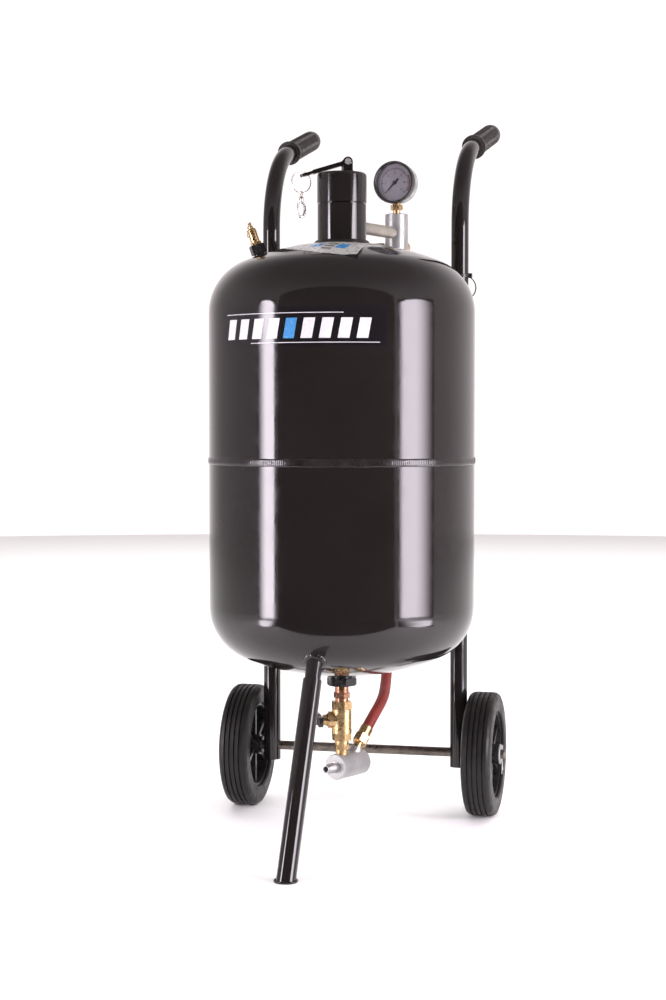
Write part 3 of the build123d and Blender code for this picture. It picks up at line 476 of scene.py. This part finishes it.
def brass(name, dark=(0.36, 0.21, 0.09), bright=(0.70, 0.49, 0.25)):
    """Cast and machined brass: turning lines, darker tarnish in blotches, bright edges."""
    metal = Surface(name, bright, 0.27, 0.9)
    metal.rounded(0.0005)
    middle = tuple((a + 2 * b) / 3 for a, b in zip(dark, bright))
    metal.colour(metal.colours(metal.noise(90, 4, roughness=0.55), (0.22, dark), (0.42, middle),
                               (0.75, bright)))
    metal.gloss(metal.noise(150, 4), 0.25, 0.75, 0.20, 0.36)
    metal.bump(metal.noise(1100, 2, (0.25, 0.25, 1)), 0.00002)
    metal.bump(metal.noise(300, 2), 0.000015)
    return metal.material


def nickel():
    """Bright plated wire with patchy wear."""
    metal = Surface("nickel", (0.74, 0.71, 0.67), 0.2, 0.95)
    metal.colour(metal.colours(metal.noise(180, 3), (0.3, (0.52, 0.48, 0.44)), (0.7, (0.84, 0.81, 0.77))))
    metal.gloss(metal.noise(300, 3), 0.3, 0.7, 0.12, 0.32)
    metal.bump(metal.noise(1600, 2), 0.00001)
    return metal.material


def steel(name, dark=(0.33, 0.31, 0.28), bright=(0.60, 0.58, 0.55)):
    """Bare steel, drawn or turned, between a dark and a bright tone."""
    metal = Surface(name, bright, 0.35, 0.9)
    metal.rounded(0.0004)
    metal.colour(metal.colours(metal.noise(60, 4), (0.3, dark), (0.7, bright)))
    metal.gloss(metal.noise(200, 3), 0.3, 0.7, 0.25, 0.5)
    metal.bump(metal.noise(800, 2, (0.2, 1, 1)), 0.00004)
    return metal.material


def rubber(name, base, rough=0.55, grain=0.00006):
    """Matt black rubber with a fine grain."""
    cover = Surface(name, (base, base * 0.88, base * 0.82), rough)
    cover.set(Specular_IOR_Level=0.32)
    cover.colour(cover.colours(cover.noise(30, 4), (0.3, (base * 0.75, base * 0.66, base * 0.61)),
                             (0.75, (base * 1.35, base * 1.19, base * 1.11))))
    cover.gloss(cover.noise(110, 3), 0.3, 0.75, rough * 0.8, rough * 1.2)
    cover.bump(cover.noise(650, 3), grain)
    cover.bump(cover.noise(45, 2), 0.0001)
    return cover.material


def red_rubber():
    """Smooth red air hose with a faint lengthwise grain and dusty bloom."""
    cover = Surface("red_hose", (0.20, 0.029, 0.022), 0.48)
    cover.colour(cover.colours(cover.noise(35, 4), (0.3, (0.165, 0.023, 0.018)),
                               (0.7, (0.235, 0.038, 0.031))))
    cover.gloss(cover.noise(140, 3), 0.3, 0.7, 0.40, 0.58)
    cover.set(Specular_IOR_Level=0.3)
    cover.bump(cover.noise(900, 2, (1, 1, 0.12)), 0.00004)
    return cover.material


def glass():
    """Clear gauge lens with faint smears."""
    lens = Surface("lens", (0.97, 0.98, 1.0), 0.02)
    lens.set(Transmission_Weight=1.0, IOR=1.46)
    lens.gloss(lens.noise(120, 3), 0.4, 0.8, 0.01, 0.05)
    lens.bump(lens.noise(25, 1), 0.00004)
    return lens.material


def printed(name, colour, rough=0.35):
    """Printed ink or film in one plain colour."""
    ink = Surface(name, colour, rough)
    ink.colour(ink.colours(ink.noise(300, 3), (0.3, tuple(c * 0.9 for c in colour)),
                           (0.7, tuple(min(1.0, c * 1.06) for c in colour))))
    ink.gloss(ink.noise(200, 2), 0.3, 0.7, rough * 0.75, rough * 1.2)
    ink.bump(ink.noise(1200, 2), 0.000008)
    return ink.material


MATERIALS = {
    "black_paint": enamel("black_paint"),
    "weld_paint": weld_paint(),
    "black_fitting": satin_black("black_fitting", 0.013, 0.25),
    "zinc": zinc_plate(),
    "galvanised": galvanised(),
    "brass": brass("brass"),
    "nickel": nickel(),
    "spring_steel": steel("steel"),
    "dark_steel": steel("dark_steel", (0.10, 0.085, 0.07), (0.24, 0.21, 0.18)),
    "red_brass": brass("red_brass", (0.20, 0.085, 0.045), (0.47, 0.25, 0.155)),
    "black_plastic": satin_black("black_plastic", 0.012, 0.34),
    "gauge_case_grey": satin_black("gauge_case_grey", 0.28, 0.4),
    "dial_face": printed("dial_face", (0.66, 0.61, 0.66), 0.45),
    "lens": glass(),
    "grip_rubber": rubber("grip_rubber", 0.030, 0.5),
    "seal_rubber": rubber("seal_rubber", 0.03, 0.6),
    "red_hose": red_rubber(),
    "tyre_rubber": rubber("tyre_rubber", 0.0085, 0.50),
    "ink_black": printed("ink_black", (0.03, 0.028, 0.035)),
    "ink_red": printed("ink_red", (0.35, 0.04, 0.05)),
    "print_white": printed("print_white", (0.58, 0.56, 0.60), 0.25),
    "print_blue": printed("print_blue", (0.05, 0.21, 0.47), 0.25),
    "film_black": printed("film_black", (0.009, 0.008, 0.009), 0.09),
    "label_pale": printed("label_pale", (0.40, 0.39, 0.38), 0.3),
}

# Nodes that look different from the rest of their slot.
NODE_LOOKS = {"axle": "dark_steel", "outlet_nipple": "red_brass", "gauge_pointer": "ink_black"}


def finish_cad_nodes():
    """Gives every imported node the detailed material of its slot, or its own."""
    for sub in frame["record"]["subparts"]:
        mesh = nodes[sub["node"]].data
        look = NODE_LOOKS.get(sub["node"], sub["material_slot"])
        mesh.materials.clear()
        mesh.materials.append(MATERIALS[look])


def piece(thing, material, body, replaced=()):
    """Finishes one piece: its material, the body it rides on and what it stands for."""
    thing.data.materials.clear()
    thing.data.materials.append(MATERIALS[material])
    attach(thing, body)
    if replaced:
        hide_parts(*replaced)
    return thing


# ---------------------------------------------------------------- mesh helpers
def sharpen(thing, limit=34):
    """Keeps edges sharper than a limit in degrees crisp."""
    thing.data.set_sharp_from_angle(angle=radians(limit))
    return thing


def local_frame(origin, z_axis, x_hint=(1, 0, 0)):
    """Matrix whose z runs along an axis and whose x lies nearest to a hint."""
    z = Vector(z_axis).normalized()
    x = (Vector(x_hint) - z * z.dot(Vector(x_hint))).normalized()
    turn = Matrix((x, z.cross(x), z)).transposed().to_4x4()
    return Matrix.Translation(origin) @ turn


def lattice(rows, columns, wrap):
    """Faces between neighbouring rows of a grid of points; wrap joins each row's ends."""
    faces = []
    for row in range(rows - 1):
        for column in range(columns if wrap else columns - 1):
            after = (column + 1) % columns
            faces.append((row * columns + column, row * columns + after,
                          (row + 1) * columns + after, (row + 1) * columns + column))
    return faces


def turned(name, outline, place, steps=64):
    """Surface of revolution: outline is (radius, height) pairs about the local z axis."""
    vertices = []
    for radius, height in outline:
        for step in range(steps):
            angle = tau * step / steps
            vertices.append(place @ Vector((radius * cos(angle), radius * sin(angle), height)))
    return sharpen(mesh_object(name, vertices, lattice(len(outline), steps, True)))


def swept(name, points, radius, sides=14, closed=False):
    """Round bar along a line of points; radius is a number or a function of the share run."""
    count = len(points)
    normal = None
    vertices = []
    for index, point in enumerate(points):
        before = points[index - 1] if closed or index else point
        after = points[(index + 1) % count] if closed or index < count - 1 else point
        along = (after - before).normalized()
        normal = along.orthogonal() if normal is None else normal
        normal = (normal - along * normal.dot(along)).normalized()
        side = along.cross(normal)
        size = radius(index / (count - 1)) if callable(radius) else radius
        for step in range(sides):
            angle = tau * step / sides
            vertices.append(point + (normal * cos(angle) + side * sin(angle)) * size)
    faces = lattice(count, sides, True)
    last = (count - 1) * sides
    if closed:
        faces += [(last + i, last + (i + 1) % sides, (i + 1) % sides, i) for i in range(sides)]
    else:
        faces += [tuple(reversed(range(sides))), tuple(range(last, last + sides))]
    return sharpen(mesh_object(name, vertices, faces), 50)


def skin(name, grid, foot):
    """Thin sheet from a grid of points, its edge turned down to each edge point's foot."""
    rows, columns = len(grid), len(grid[0])
    vertices = [point for row in grid for point in row]
    faces = lattice(rows, columns, False)
    edge = [(0, c) for c in range(columns)] + [(r, columns - 1) for r in range(1, rows)]
    edge += [(rows - 1, c) for c in range(columns - 2, -1, -1)]
    edge += [(r, 0) for r in range(rows - 2, 0, -1)]
    base = len(vertices)
    vertices += [foot(grid[r][c]) for r, c in edge]
    for index, (r, c) in enumerate(edge):
        after = (index + 1) % len(edge)
        faces.append((r * columns + c, base + index, base + after,
                      edge[after][0] * columns + edge[after][1]))
    return sharpen(mesh_object(name, vertices, faces), 40)


def surface_of(node):
    """Search tree over a CAD node's faces, for laying things on it."""
    mesh = nodes[node].data
    return BVHTree.FromPolygons([v.co for v in mesh.vertices], [p.vertices for p in mesh.polygons])


def ripple_weld(name, path, outward, width, height, pitch, closed=True, seed=0.0):
    """Weld bead with overlapping ripples; outward gives the bead's own up at each point."""
    count, across = len(path), 9
    run = 0.0
    vertices = []
    for index, point in enumerate(path):
        before = path[index - 1] if closed or index else point
        after = path[(index + 1) % count] if closed or index < count - 1 else point
        run += (point - path[index - 1]).length if index else 0.0
        up = outward[index]
        side = up.cross((after - before).normalized()).normalized()
        wander = noise.noise(Vector((run * 55, seed, 0.0)))
        end = 1.0 if closed else sqrt(max(0.05, 1 - (2 * index / (count - 1) - 1) ** 6))
        for step in range(across):
            v = 2 * step / (across - 1) - 1
            phase = run / pitch + 0.42 * v * v
            ripple = 1 - 0.26 * (phase % 1.0) ** 2
            rise = height * sqrt(max(0.0, 1 - v * v)) * ripple * end * (1 + 0.12 * wander)
            spread = width / 2 * v * end * (1 + 0.1 * wander)
            vertices.append(point + side * spread + up * (rise - 0.0002))
    faces = lattice(count, across, False)
    if closed:
        last = (count - 1) * across
        faces += [(last + i, last + i + 1, i + 1, i) for i in range(across - 1)]
    return mesh_object(name, vertices, faces)


# ---------------------------------------------------------------- tank: welds and labels
# The printed film's angles are in degrees from the front, its heights in metres.
DECAL_LEFT = -45.5
DECAL_RIGHT = 31.4
DECAL_LOW = 0.5995
DECAL_HIGH = 0.6460
FILM_LIFT = 0.0002
PRINT_LIFT = 0.0004
TOP_LINE = (-42.5, 13.8, 0.6380, 0.6388)
BOTTOM_LINE = (-27.1, 28.6, 0.6036, 0.6044)
BAR_COUNT = 9
BLUE_BAR = 4
BAR_FIRST = -41.0
BAR_PITCH = 7.6
BAR_SHARE = 0.62
BAR_LOW = 0.6090
BAR_HIGH = 0.6325
BAR_SLANT = 1.5

LABEL_LIFT = 0.0004
MARK_LIFT = 0.0006
LABEL_SKIN = 0.00025

WELD_PITCH = 0.0026
GIRTH_STEPS = 1260
NECK_STEPS = 240
STUB_STEPS = 110
STUB_WELD_R = 0.0108
LEG_LEAN = 30.36
BRACKET_INSET = 0.023
BRACKET_WELD_HALF = 0.021
BRACKET_EDGE_ANGLE = 2.75
BRACKET_STEPS = 40
TUBE_REACH = 0.126

dome = surface_of("upper_shell")
belly = surface_of("lower_shell")
neck_low, neck_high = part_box("filler_neck")
NECK_R = (neck_high.x - neck_low.x) / 2
bead_low, bead_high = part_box("weld_bead")
BEAD_Z = (bead_low.z + bead_high.z) / 2


def side_point(angle, height, lift):
    """Point off the tank's straight side, at an angle from the front towards +x."""
    reach = TANK_R + lift
    turn = radians(angle)
    return Vector((TANK_X + sin(turn) * reach, TANK_Y - cos(turn) * reach, height))


def inward(depth):
    """Moves a point towards the tank's axis."""
    def foot(point):
        level = Vector((TANK_X, TANK_Y, point.z))
        return point + (level - point).normalized() * depth
    return foot


def side_patch(name, left, right, low, high, lift, slant=0.0):
    """Printed patch on the tank's side; slant is how far its top edge is turned, in degrees."""
    columns = max(3, int((right - left) / 1.5))
    grid = []
    for share in (0.0, 0.5, 1.0):
        height = low + (high - low) * share
        grid.append([side_point(left + (right - left) * c / columns + slant * (share - 0.5), height, lift)
                     for c in range(columns + 1)])
    return skin(name, grid, inward(FILM_LIFT))


def decal():
    """Dark film with two fine lines and a row of slanted bars, one of them blue."""
    film = side_patch("decal_film", DECAL_LEFT, DECAL_RIGHT, DECAL_LOW, DECAL_HIGH, FILM_LIFT)
    piece(film, "film_black", "frame")
    for name, line in (("decal_top_line", TOP_LINE), ("decal_bottom_line", BOTTOM_LINE)):
        piece(side_patch(name, *line, PRINT_LIFT), "print_white", "frame")
    for count in range(BAR_COUNT):
        left = BAR_FIRST + BAR_PITCH * count
        bar = side_patch("decal_bar_%d" % count, left, left + BAR_PITCH * BAR_SHARE, BAR_LOW, BAR_HIGH,
                         PRINT_LIFT, BAR_SLANT)
        piece(bar, "print_blue" if count == BLUE_BAR else "print_white", "frame")


def polar(radius, angle, height=0.0):
    """Point about the tank's axis, its angle from the front towards +x."""
    return Vector((TANK_X + sin(radians(angle)) * radius, TANK_Y - cos(radians(angle)) * radius, height))


def on_dome(point, lift):
    """Drops a point on the dome from above and lifts it off by a little."""
    hit, normal, _, _ = dome.ray_cast(Vector((point.x, point.y, 1.0)), Vector((0, 0, -1)))
    return hit + normal * lift


def sticker_point(u, v, lift):
    """Place on the dome's paper label: u runs left to right, v from its front edge back."""
    left, middle, right = polar(0.091, -36), polar(0.129, -6), polar(0.131, 21)
    front = left * (1 - u) ** 2 + middle * (2 * u * (1 - u)) + right * u ** 2
    back = polar(0.068, -42).lerp(polar(0.067, 41), u)
    curl = 0.0035 * max(0.0, u - 0.86) / 0.14 * max(0.0, 1 - v / 0.5)
    return on_dome(front.lerp(back, v), lift + curl)


def sticker_patch(name, left, right, near, far, lift, columns, rows):
    """Part of the paper label between shares of its width and depth."""
    grid = [[sticker_point(left + (right - left) * c / columns, near + (far - near) * r / rows, lift)
             for c in range(columns + 1)] for r in range(rows + 1)]
    return skin(name, grid, lambda point: point - Vector((0, 0, LABEL_SKIN)))


def sticker():
    """Paper label on the dome with small plain marks, its right corner coming away."""
    label = sticker_patch("dome_label", 0.0, 1.0, 0.0, 1.0, LABEL_LIFT, 24, 10)
    piece(label, "label_pale", "frame")
    for index, left in enumerate((0.36, 0.70)):
        mark = sticker_patch("dome_label_mark_%d" % index, left, left + 0.13, 0.34, 0.66, MARK_LIFT, 8, 4)
        piece(mark, "print_blue", "frame")
    for index in range(3):
        near = 0.24 + 0.2 * index
        line = sticker_patch("dome_label_line_%d" % index, 0.54, 0.67, near, near + 0.06, MARK_LIFT, 8, 2)
        piece(line, "ink_black", "frame")


def girth_weld():
    """Rippled bead round the tank, where its two halves meet."""
    path = [side_point(360 * i / GIRTH_STEPS, BEAD_Z, 0.0) for i in range(GIRTH_STEPS)]
    axis = Vector((TANK_X, TANK_Y, BEAD_Z))
    outward = [(point - axis).normalized() for point in path]
    bead = ripple_weld("girth_weld", path, outward, width=0.0098, height=0.0014, pitch=WELD_PITCH)
    piece(bead, "weld_paint", "frame", ("weld_bead",))


def neck_weld():
    """Fillet weld where the filler neck stands on the dome."""
    path, outward = [], []
    for i in range(NECK_STEPS):
        angle = 360 * i / NECK_STEPS
        point = on_dome(polar(NECK_R + 0.0015, angle), 0.001)
        path.append(point)
        outward.append((polar(1.0, angle) - polar(0.0, angle) + Vector((0, 0, 1))).normalized())
    bead = ripple_weld("neck_weld", path, outward, width=0.008, height=0.0026, pitch=WELD_PITCH, seed=3.0)
    piece(bead, "weld_paint", "frame")


def stub_weld():
    """Weld where the leg's stub meets the tank's lower end."""
    leg_foot = sum(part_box("foot_disc"), Vector()) / 2
    lean = radians(LEG_LEAN)
    down = Vector((0, -sin(lean), -cos(lean)))
    across = Vector((1, 0, 0))
    square = down.cross(across)
    path, outward = [], []
    for i in range(STUB_STEPS):
        angle = tau * i / STUB_STEPS
        ring = across * cos(angle) + square * sin(angle)
        start = Vector((leg_foot.x, leg_foot.y, 0)) + ring * STUB_WELD_R
        hit, normal, _, _ = belly.ray_cast(start, -down)
        path.append(hit)
        outward.append((normal + ring * 0.9).normalized())
    bead = ripple_weld("stub_weld", path, outward, width=0.0085, height=0.0034, pitch=0.003, seed=5.0)
    piece(bead, "weld_paint", "frame")


def bracket_welds():
    """Upright fillet welds where the four plates meet the tank."""
    plates_low, plates_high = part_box("tank_brackets")
    heights = {"low": plates_low.z + BRACKET_INSET, "high": plates_high.z - BRACKET_INSET}
    half = BRACKET_WELD_HALF
    for side in ("left", "right"):
        tube_x = side_sign(side) * TUBE_REACH
        tube_y = joints[side + "_wheel_spin"]["pos_m"][1] - TANK_Y
        turn = degrees(atan2(tube_x, -tube_y))
        for level, height in heights.items():
            for edge in (-1, 1):
                angle = turn + edge * BRACKET_EDGE_ANGLE
                path = [side_point(angle, height - half + 2 * half * i / BRACKET_STEPS, 0.0006)
                        for i in range(BRACKET_STEPS + 1)]
                out = (side_point(angle, height, 0.001) - side_point(angle, height, 0.0)).normalized()
                bead = ripple_weld("bracket_weld_%s_%s_%d" % (side, level, edge + 1), path,
                                   [out] * len(path), width=0.005, height=0.0022, pitch=0.0024,
                                   closed=False, seed=angle)
                piece(bead, "weld_paint", "frame")


# ---------------------------------------------------------------- hose
# The route's points are listed and follow the imported hose.
HOSE_R = 0.0072
HOSE_ROUTE = [(0.0430, 0.1381, 0.7080), (0.0430, 0.1381, 0.6680), (0.0410, 0.1396, 0.6100),
              (0.0365, 0.1386, 0.5510), (0.0330, 0.1391, 0.4920), (0.0290, 0.1386, 0.4330),
              (0.0265, 0.1396, 0.3740), (0.0240, 0.1391, 0.3150), (0.0230, 0.1396, 0.2580),
              (0.0230, 0.1361, 0.2160), (0.0250, 0.1161, 0.1825), (0.0300, 0.0821, 0.1620),
              (0.0330, 0.0491, 0.1510), (0.0251, 0.0182, 0.1312), (0.0179, 0.0013, 0.1128)]


def air_hose():
    """Red air hose from the elbow down behind the tank to the mixing block."""
    curve = bpy.data.curves.new("red_air_hose", "CURVE")
    curve.dimensions = "3D"
    curve.bevel_depth = HOSE_R
    curve.bevel_resolution = 6
    curve.use_fill_caps = True
    spline = curve.splines.new("NURBS")
    spline.points.add(len(HOSE_ROUTE) - 1)
    for point, place in zip(spline.points, HOSE_ROUTE):
        point.co = (*place, 1)
    spline.order_u = 3
    spline.use_endpoint_u = True
    spline.resolution_u = 12
    hose = link(bpy.data.objects.new("red_air_hose", curve))
    piece(hose, "red_hose", "frame", ("air_hose",))


# ---------------------------------------------------------------- grips and wheels
GRIP_TURN = 75.0
GRIP_SPLAY = 1.0
GRIP_R = 0.0142
GRIP_LENGTH = 0.145
FLANGE_R = 0.0162
GRIP_END = 0.009
FLANGE_WIDTH = 0.005
RIBS_START = 0.014
RIBS_END = 0.126
RIB_PITCH = 0.0064
RIB_DEPTH = 0.0019
RIB_PANELS = 6
GRIP_ROWS = 240
GRIP_SIDES = 96

AXLE_HOLE_R = 0.0061
SPACER_GAP = 0.0038
COTTER_REACH = 0.1836
COTTER_WIRE_R = 0.00075
# Each leg of a split pin: the side it bends to, how far it spreads and how low it ends.
COTTER_LEGS = ((1, 0.0052, 0.0215), (-1, -0.0040, 0.0250))


def grip_radius(run, angle):
    """Grip's radius: guard flange, rows of short ribs between smooth strips, rounded end."""
    if run < FLANGE_WIDTH:
        edge = abs(run - 0.0022) / 0.0028
        return GRIP_R + (FLANGE_R - GRIP_R) * sqrt(max(0.0, 1 - edge ** 4))
    if run > GRIP_LENGTH - GRIP_END:
        rise = min(1.0, (run - GRIP_LENGTH + GRIP_END) / GRIP_END)
        return max(0.0005, GRIP_R - GRIP_END + GRIP_END * sqrt(max(0.0, 1 - rise * rise)))
    if not RIBS_START < run < RIBS_END:
        return GRIP_R
    wave = 0.5 - 0.5 * cos(tau * run / RIB_PITCH)
    strip = 0.5 + 0.5 * cos(angle * RIB_PANELS)
    strip = min(1.0, max(0.0, (strip - 0.12) * 4))
    return GRIP_R - RIB_DEPTH * strip * (1 - wave ** 1.3)


def grip(side):
    """Ribbed rubber grip on the end of a handle tube."""
    sign = side_sign(side)
    turn, splay = radians(GRIP_TURN), radians(GRIP_SPLAY)
    along = Vector((sign * sin(splay) * sin(turn), cos(splay) * sin(turn), cos(turn)))
    low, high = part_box(side + "_grip")
    start = Vector((low.x + FLANGE_R * sqrt(1 - along.x ** 2), low.y + FLANGE_R * sqrt(1 - along.y ** 2),
                    low.z + FLANGE_R * sqrt(1 - along.z ** 2)))
    if sign < 0:
        start.x = high.x - FLANGE_R * sqrt(1 - along.x ** 2)
    place = local_frame(start, along, (0, 0, 1))
    vertices = []
    for row in range(GRIP_ROWS + 1):
        run = GRIP_LENGTH * row / GRIP_ROWS
        for step in range(GRIP_SIDES):
            angle = tau * step / GRIP_SIDES
            radius = grip_radius(run, angle)
            vertices.append(place @ Vector((radius * cos(angle), radius * sin(angle), run)))
    faces = lattice(GRIP_ROWS + 1, GRIP_SIDES, True)
    faces.append(tuple(range(GRIP_ROWS * GRIP_SIDES, (GRIP_ROWS + 1) * GRIP_SIDES)))
    faces.append(tuple(reversed(range(GRIP_SIDES))))
    body = sharpen(mesh_object(side + "_ribbed_grip", vertices, faces), 60)
    piece(body, "grip_rubber", "frame", (side + "_grip",))


def washers():
    """Zinc washer outside each wheel and a black plastic spacer inside it."""
    low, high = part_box("axle_washers")
    washer = [(AXLE_HOLE_R, -0.0020), (0.0126, -0.0020), (0.0130, -0.0016), (0.0130, -0.0004),
              (0.0126, 0.0), (AXLE_HOLE_R, 0.0), (AXLE_HOLE_R, -0.0020)]
    spacer = [(AXLE_HOLE_R, 0.0), (0.0105, 0.0), (0.0110, 0.0004), (0.0110, 0.0031),
              (0.0105, 0.0035), (AXLE_HOLE_R, 0.0035), (AXLE_HOLE_R, 0.0)]
    for side in ("left", "right"):
        sign = side_sign(side)
        hub = Vector(joints[side + "_wheel_spin"]["pos_m"])
        outer_face = high.x if sign > 0 else low.x
        place = local_frame(Vector((outer_face, hub.y, hub.z)), (sign, 0, 0), (0, 0, 1))
        replaced = ("axle_washers",) if side == "left" else ()
        piece(turned(side + "_washer", washer, place), "zinc", "frame", replaced)
        rim_low, rim_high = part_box(side + "_rim")
        inner_face = (rim_low.x - SPACER_GAP) if sign > 0 else (rim_high.x + SPACER_GAP)
        place = local_frame(Vector((inner_face, hub.y, hub.z)), (sign, 0, 0), (0, 0, 1))
        piece(turned(side + "_spacer", spacer, place), "black_plastic", "frame")


def cotter_leg(centre, tilt, spread, length):
    """One half of a split pin: its eye, the straight part in the axle and the bent end."""
    points = []
    for i in range(15):
        angle = radians(-60 + 150 * i / 14)
        points.append(centre + Vector((0, tilt * 0.0024 * cos(angle), 0.0094 + 0.0022 * sin(angle))))
    points.reverse()
    points += [centre + Vector((0, tilt * 0.0005, 0.0066 - 0.0026 * i)) for i in range(6)]
    for i in range(1, 9):
        share = i / 8
        points.append(centre + Vector((0, tilt * 0.0005 + spread * share ** 1.6,
                                       -0.0072 - (length - 0.0072) * share)))
    return points


def cotters():
    """Split pins of bent wire: an eye on top and two legs spread below."""
    for side in ("left", "right"):
        hub = Vector(joints[side + "_wheel_spin"]["pos_m"])
        centre = Vector((side_sign(side) * COTTER_REACH, hub.y, hub.z))
        for leg, shape in enumerate(COTTER_LEGS):
            wire = swept("cotter_%s_%d" % (side, leg), cotter_leg(centre, *shape), COTTER_WIRE_R, 10)
            replaced = ("cotter_pins",) if side == "left" and leg == 0 else ()
            piece(wire, "zinc", "frame", replaced)


# ---------------------------------------------------------------- ring, clasp and gauge
ring_top = Vector(joints["ring_swing"]["pos_m"])
ring_low = Vector(joints["clasp_swing"]["pos_m"])
RING_WIRE_R = 0.00052
RING_SHIFT = 0.00045
RING_STEPS = 160
RING_MIDDLE = (ring_top + ring_low) / 2
RING_R = (ring_top - ring_low).length / 2
ring_along = Vector(joints["ring_swing"]["axis"]).normalized()


def split_ring():
    """Key ring: two coils of spring wire, lying side by side."""
    across = ring_along.cross(Vector((0, 0, 1)))
    points = []
    for i in range(RING_STEPS + 1):
        turn = 2 * tau * i / RING_STEPS + 0.8
        shift = RING_SHIFT * max(-1.0, min(1.0, (i - RING_STEPS / 2) / 9))
        points.append(RING_MIDDLE + ring_along * (RING_R * cos(turn)) + Vector((0, 0, RING_R * sin(turn)))
                      + across * shift)
    ring = swept("double_split_ring", points, RING_WIRE_R, 12)
    piece(ring, "nickel", "ring", ("split_ring",))


def clasp():
    """Small snap hook: swivel eye and post, round collar, oval hook and its sprung gate."""
    frame_x = ring_along
    frame_y = Vector((0, 0, 1)).cross(frame_x)

    def place(x, y, z):
        return ring_low + frame_x * x + frame_y * y + Vector((0, 0, z))

    eye = [place(0, 0.0026 * cos(tau * i / 28), -0.0008 + 0.0026 * sin(tau * i / 28)) for i in range(28)]
    piece(swept("swivel_eye", eye, 0.00062, 10, closed=True), "nickel", "clasp_eye",
          ("clasp_swivel",))
    upright = local_frame(place(0, 0, 0), (0, 0, 1), frame_x)
    post = [(0.0001, -0.0094), (0.0014, -0.0094), (0.0014, -0.0082), (0.0008, -0.0080), (0.0008, -0.0044),
            (0.0012, -0.0038), (0.0012, -0.0032), (0.0001, -0.0030)]
    piece(turned("swivel_post", post, upright, 24), "nickel", "clasp_eye")
    collar = [(0.0001, -0.0120), (0.0018, -0.0119), (0.0024, -0.0112), (0.0027, -0.0098), (0.0027, -0.0060),
              (0.0025, -0.0050), (0.0019, -0.0046), (0.0010, -0.0046), (0.0010, -0.0060)]
    piece(turned("clasp_collar", collar, upright, 32), "nickel", "clasp", ("clasp_body",))
    hook = []
    for i in range(49):
        angle = radians(62 + 272 * i / 48)
        hook.append(place(0.00495 * cos(angle), 0, -0.0207 + 0.0091 * sin(angle)))
    piece(swept("clasp_hook", hook, lambda share: 0.00125 + 0.00035 * sin(pi * share), 14),
          "nickel", "clasp")
    gate = []
    for i in range(13):
        share = i / 12
        gate.append(place(0.0045 + 0.0006 * sin(pi * share), 0, -0.0247 + 0.0116 * share))
    piece(swept("clasp_gate_bar", gate, lambda share: 0.0010 - 0.0002 * share, 12),
          "nickel", "gate", ("clasp_gate",))


DIAL_START = -135
DIAL_SWEEP = 270.0
DIAL_TICKS = 48
DIAL_NUMBERS = 6
TICK_OUTER = 0.0188
NUMBER_REACH = 0.0127
NUMBER_SIZE = 0.0042
dial_out = -Vector(joints["pointer_turn"]["axis"]).normalized()
dial_right = Vector((0, 0, 1)).cross(dial_out)
dial_low, dial_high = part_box("gauge_dial")
dial_middle = (dial_low + dial_high) / 2


def dial_point(radius, angle, lift=0.00012):
    """Point on the dial, its angle clockwise from straight up."""
    turn = radians(angle)
    return (dial_middle + dial_right * (radius * sin(turn)) + Vector((0, 0, radius * cos(turn)))
            + dial_out * (0.0004 + lift))


def dial_arc(name, inner, outer, start, end, material, lift=0.00012):
    """Printed arc on the dial between two radii and two angles."""
    steps = max(2, int(abs(end - start) / 4))
    grid = [[dial_point(radius, start + (end - start) * i / steps, lift) for i in range(steps + 1)]
            for radius in (inner, (inner + outer) / 2, outer)]
    arc = skin(name, grid, lambda point: point - dial_out * 0.0001)
    piece(arc, material, "frame")


def dial():
    """Scale of the pressure gauge: fine and coarse ticks, an arc, a red band and numbers."""
    dial_arc("dial_ring", TICK_OUTER, 0.0191, DIAL_START, DIAL_START + DIAL_SWEEP, "ink_black")
    dial_arc("dial_red_band", 0.0196, 0.0212, 62, 122, "ink_red")
    for count in range(DIAL_TICKS + 1):
        angle = DIAL_START + DIAL_SWEEP * count / DIAL_TICKS
        coarse = count % 8 == 0
        half = 1.5 if coarse else 0.8
        dial_arc("dial_tick_%d" % count, 0.0158 if coarse else 0.0172, TICK_OUTER, angle - half,
                 angle + half, "ink_black")
    for count in range(DIAL_NUMBERS + 1):
        angle = DIAL_START + DIAL_SWEEP * count / DIAL_NUMBERS
        text = bpy.data.curves.new("dial_number_%d" % count, "FONT")
        text.body = str(2 * count)
        text.size = NUMBER_SIZE
        text.align_x = "CENTER"
        text.align_y = "CENTER"
        text.extrude = 0.00004
        holder = link(bpy.data.objects.new("holder", text))
        mesh = bpy.data.meshes.new_from_object(holder)
        bpy.data.objects.remove(holder)
        number = link(bpy.data.objects.new("dial_number_%d" % count, mesh))
        at = dial_point(NUMBER_REACH, angle, 0.0001)
        turn = Matrix((dial_right, Vector((0, 0, 1)), dial_out)).transposed().to_4x4()
        mesh.transform(Matrix.Translation(at) @ turn)
        piece(number, "ink_black", "frame")


# ---------------------------------------------------------------- build
make_camera()
make_studio()
finish_cad_nodes()
air_hose()
decal()
sticker()
girth_weld()
neck_weld()
stub_weld()
bracket_welds()
for side in ("left", "right"):
    grip(side)
washers()
cotters()
split_ring()
clasp()
dial()
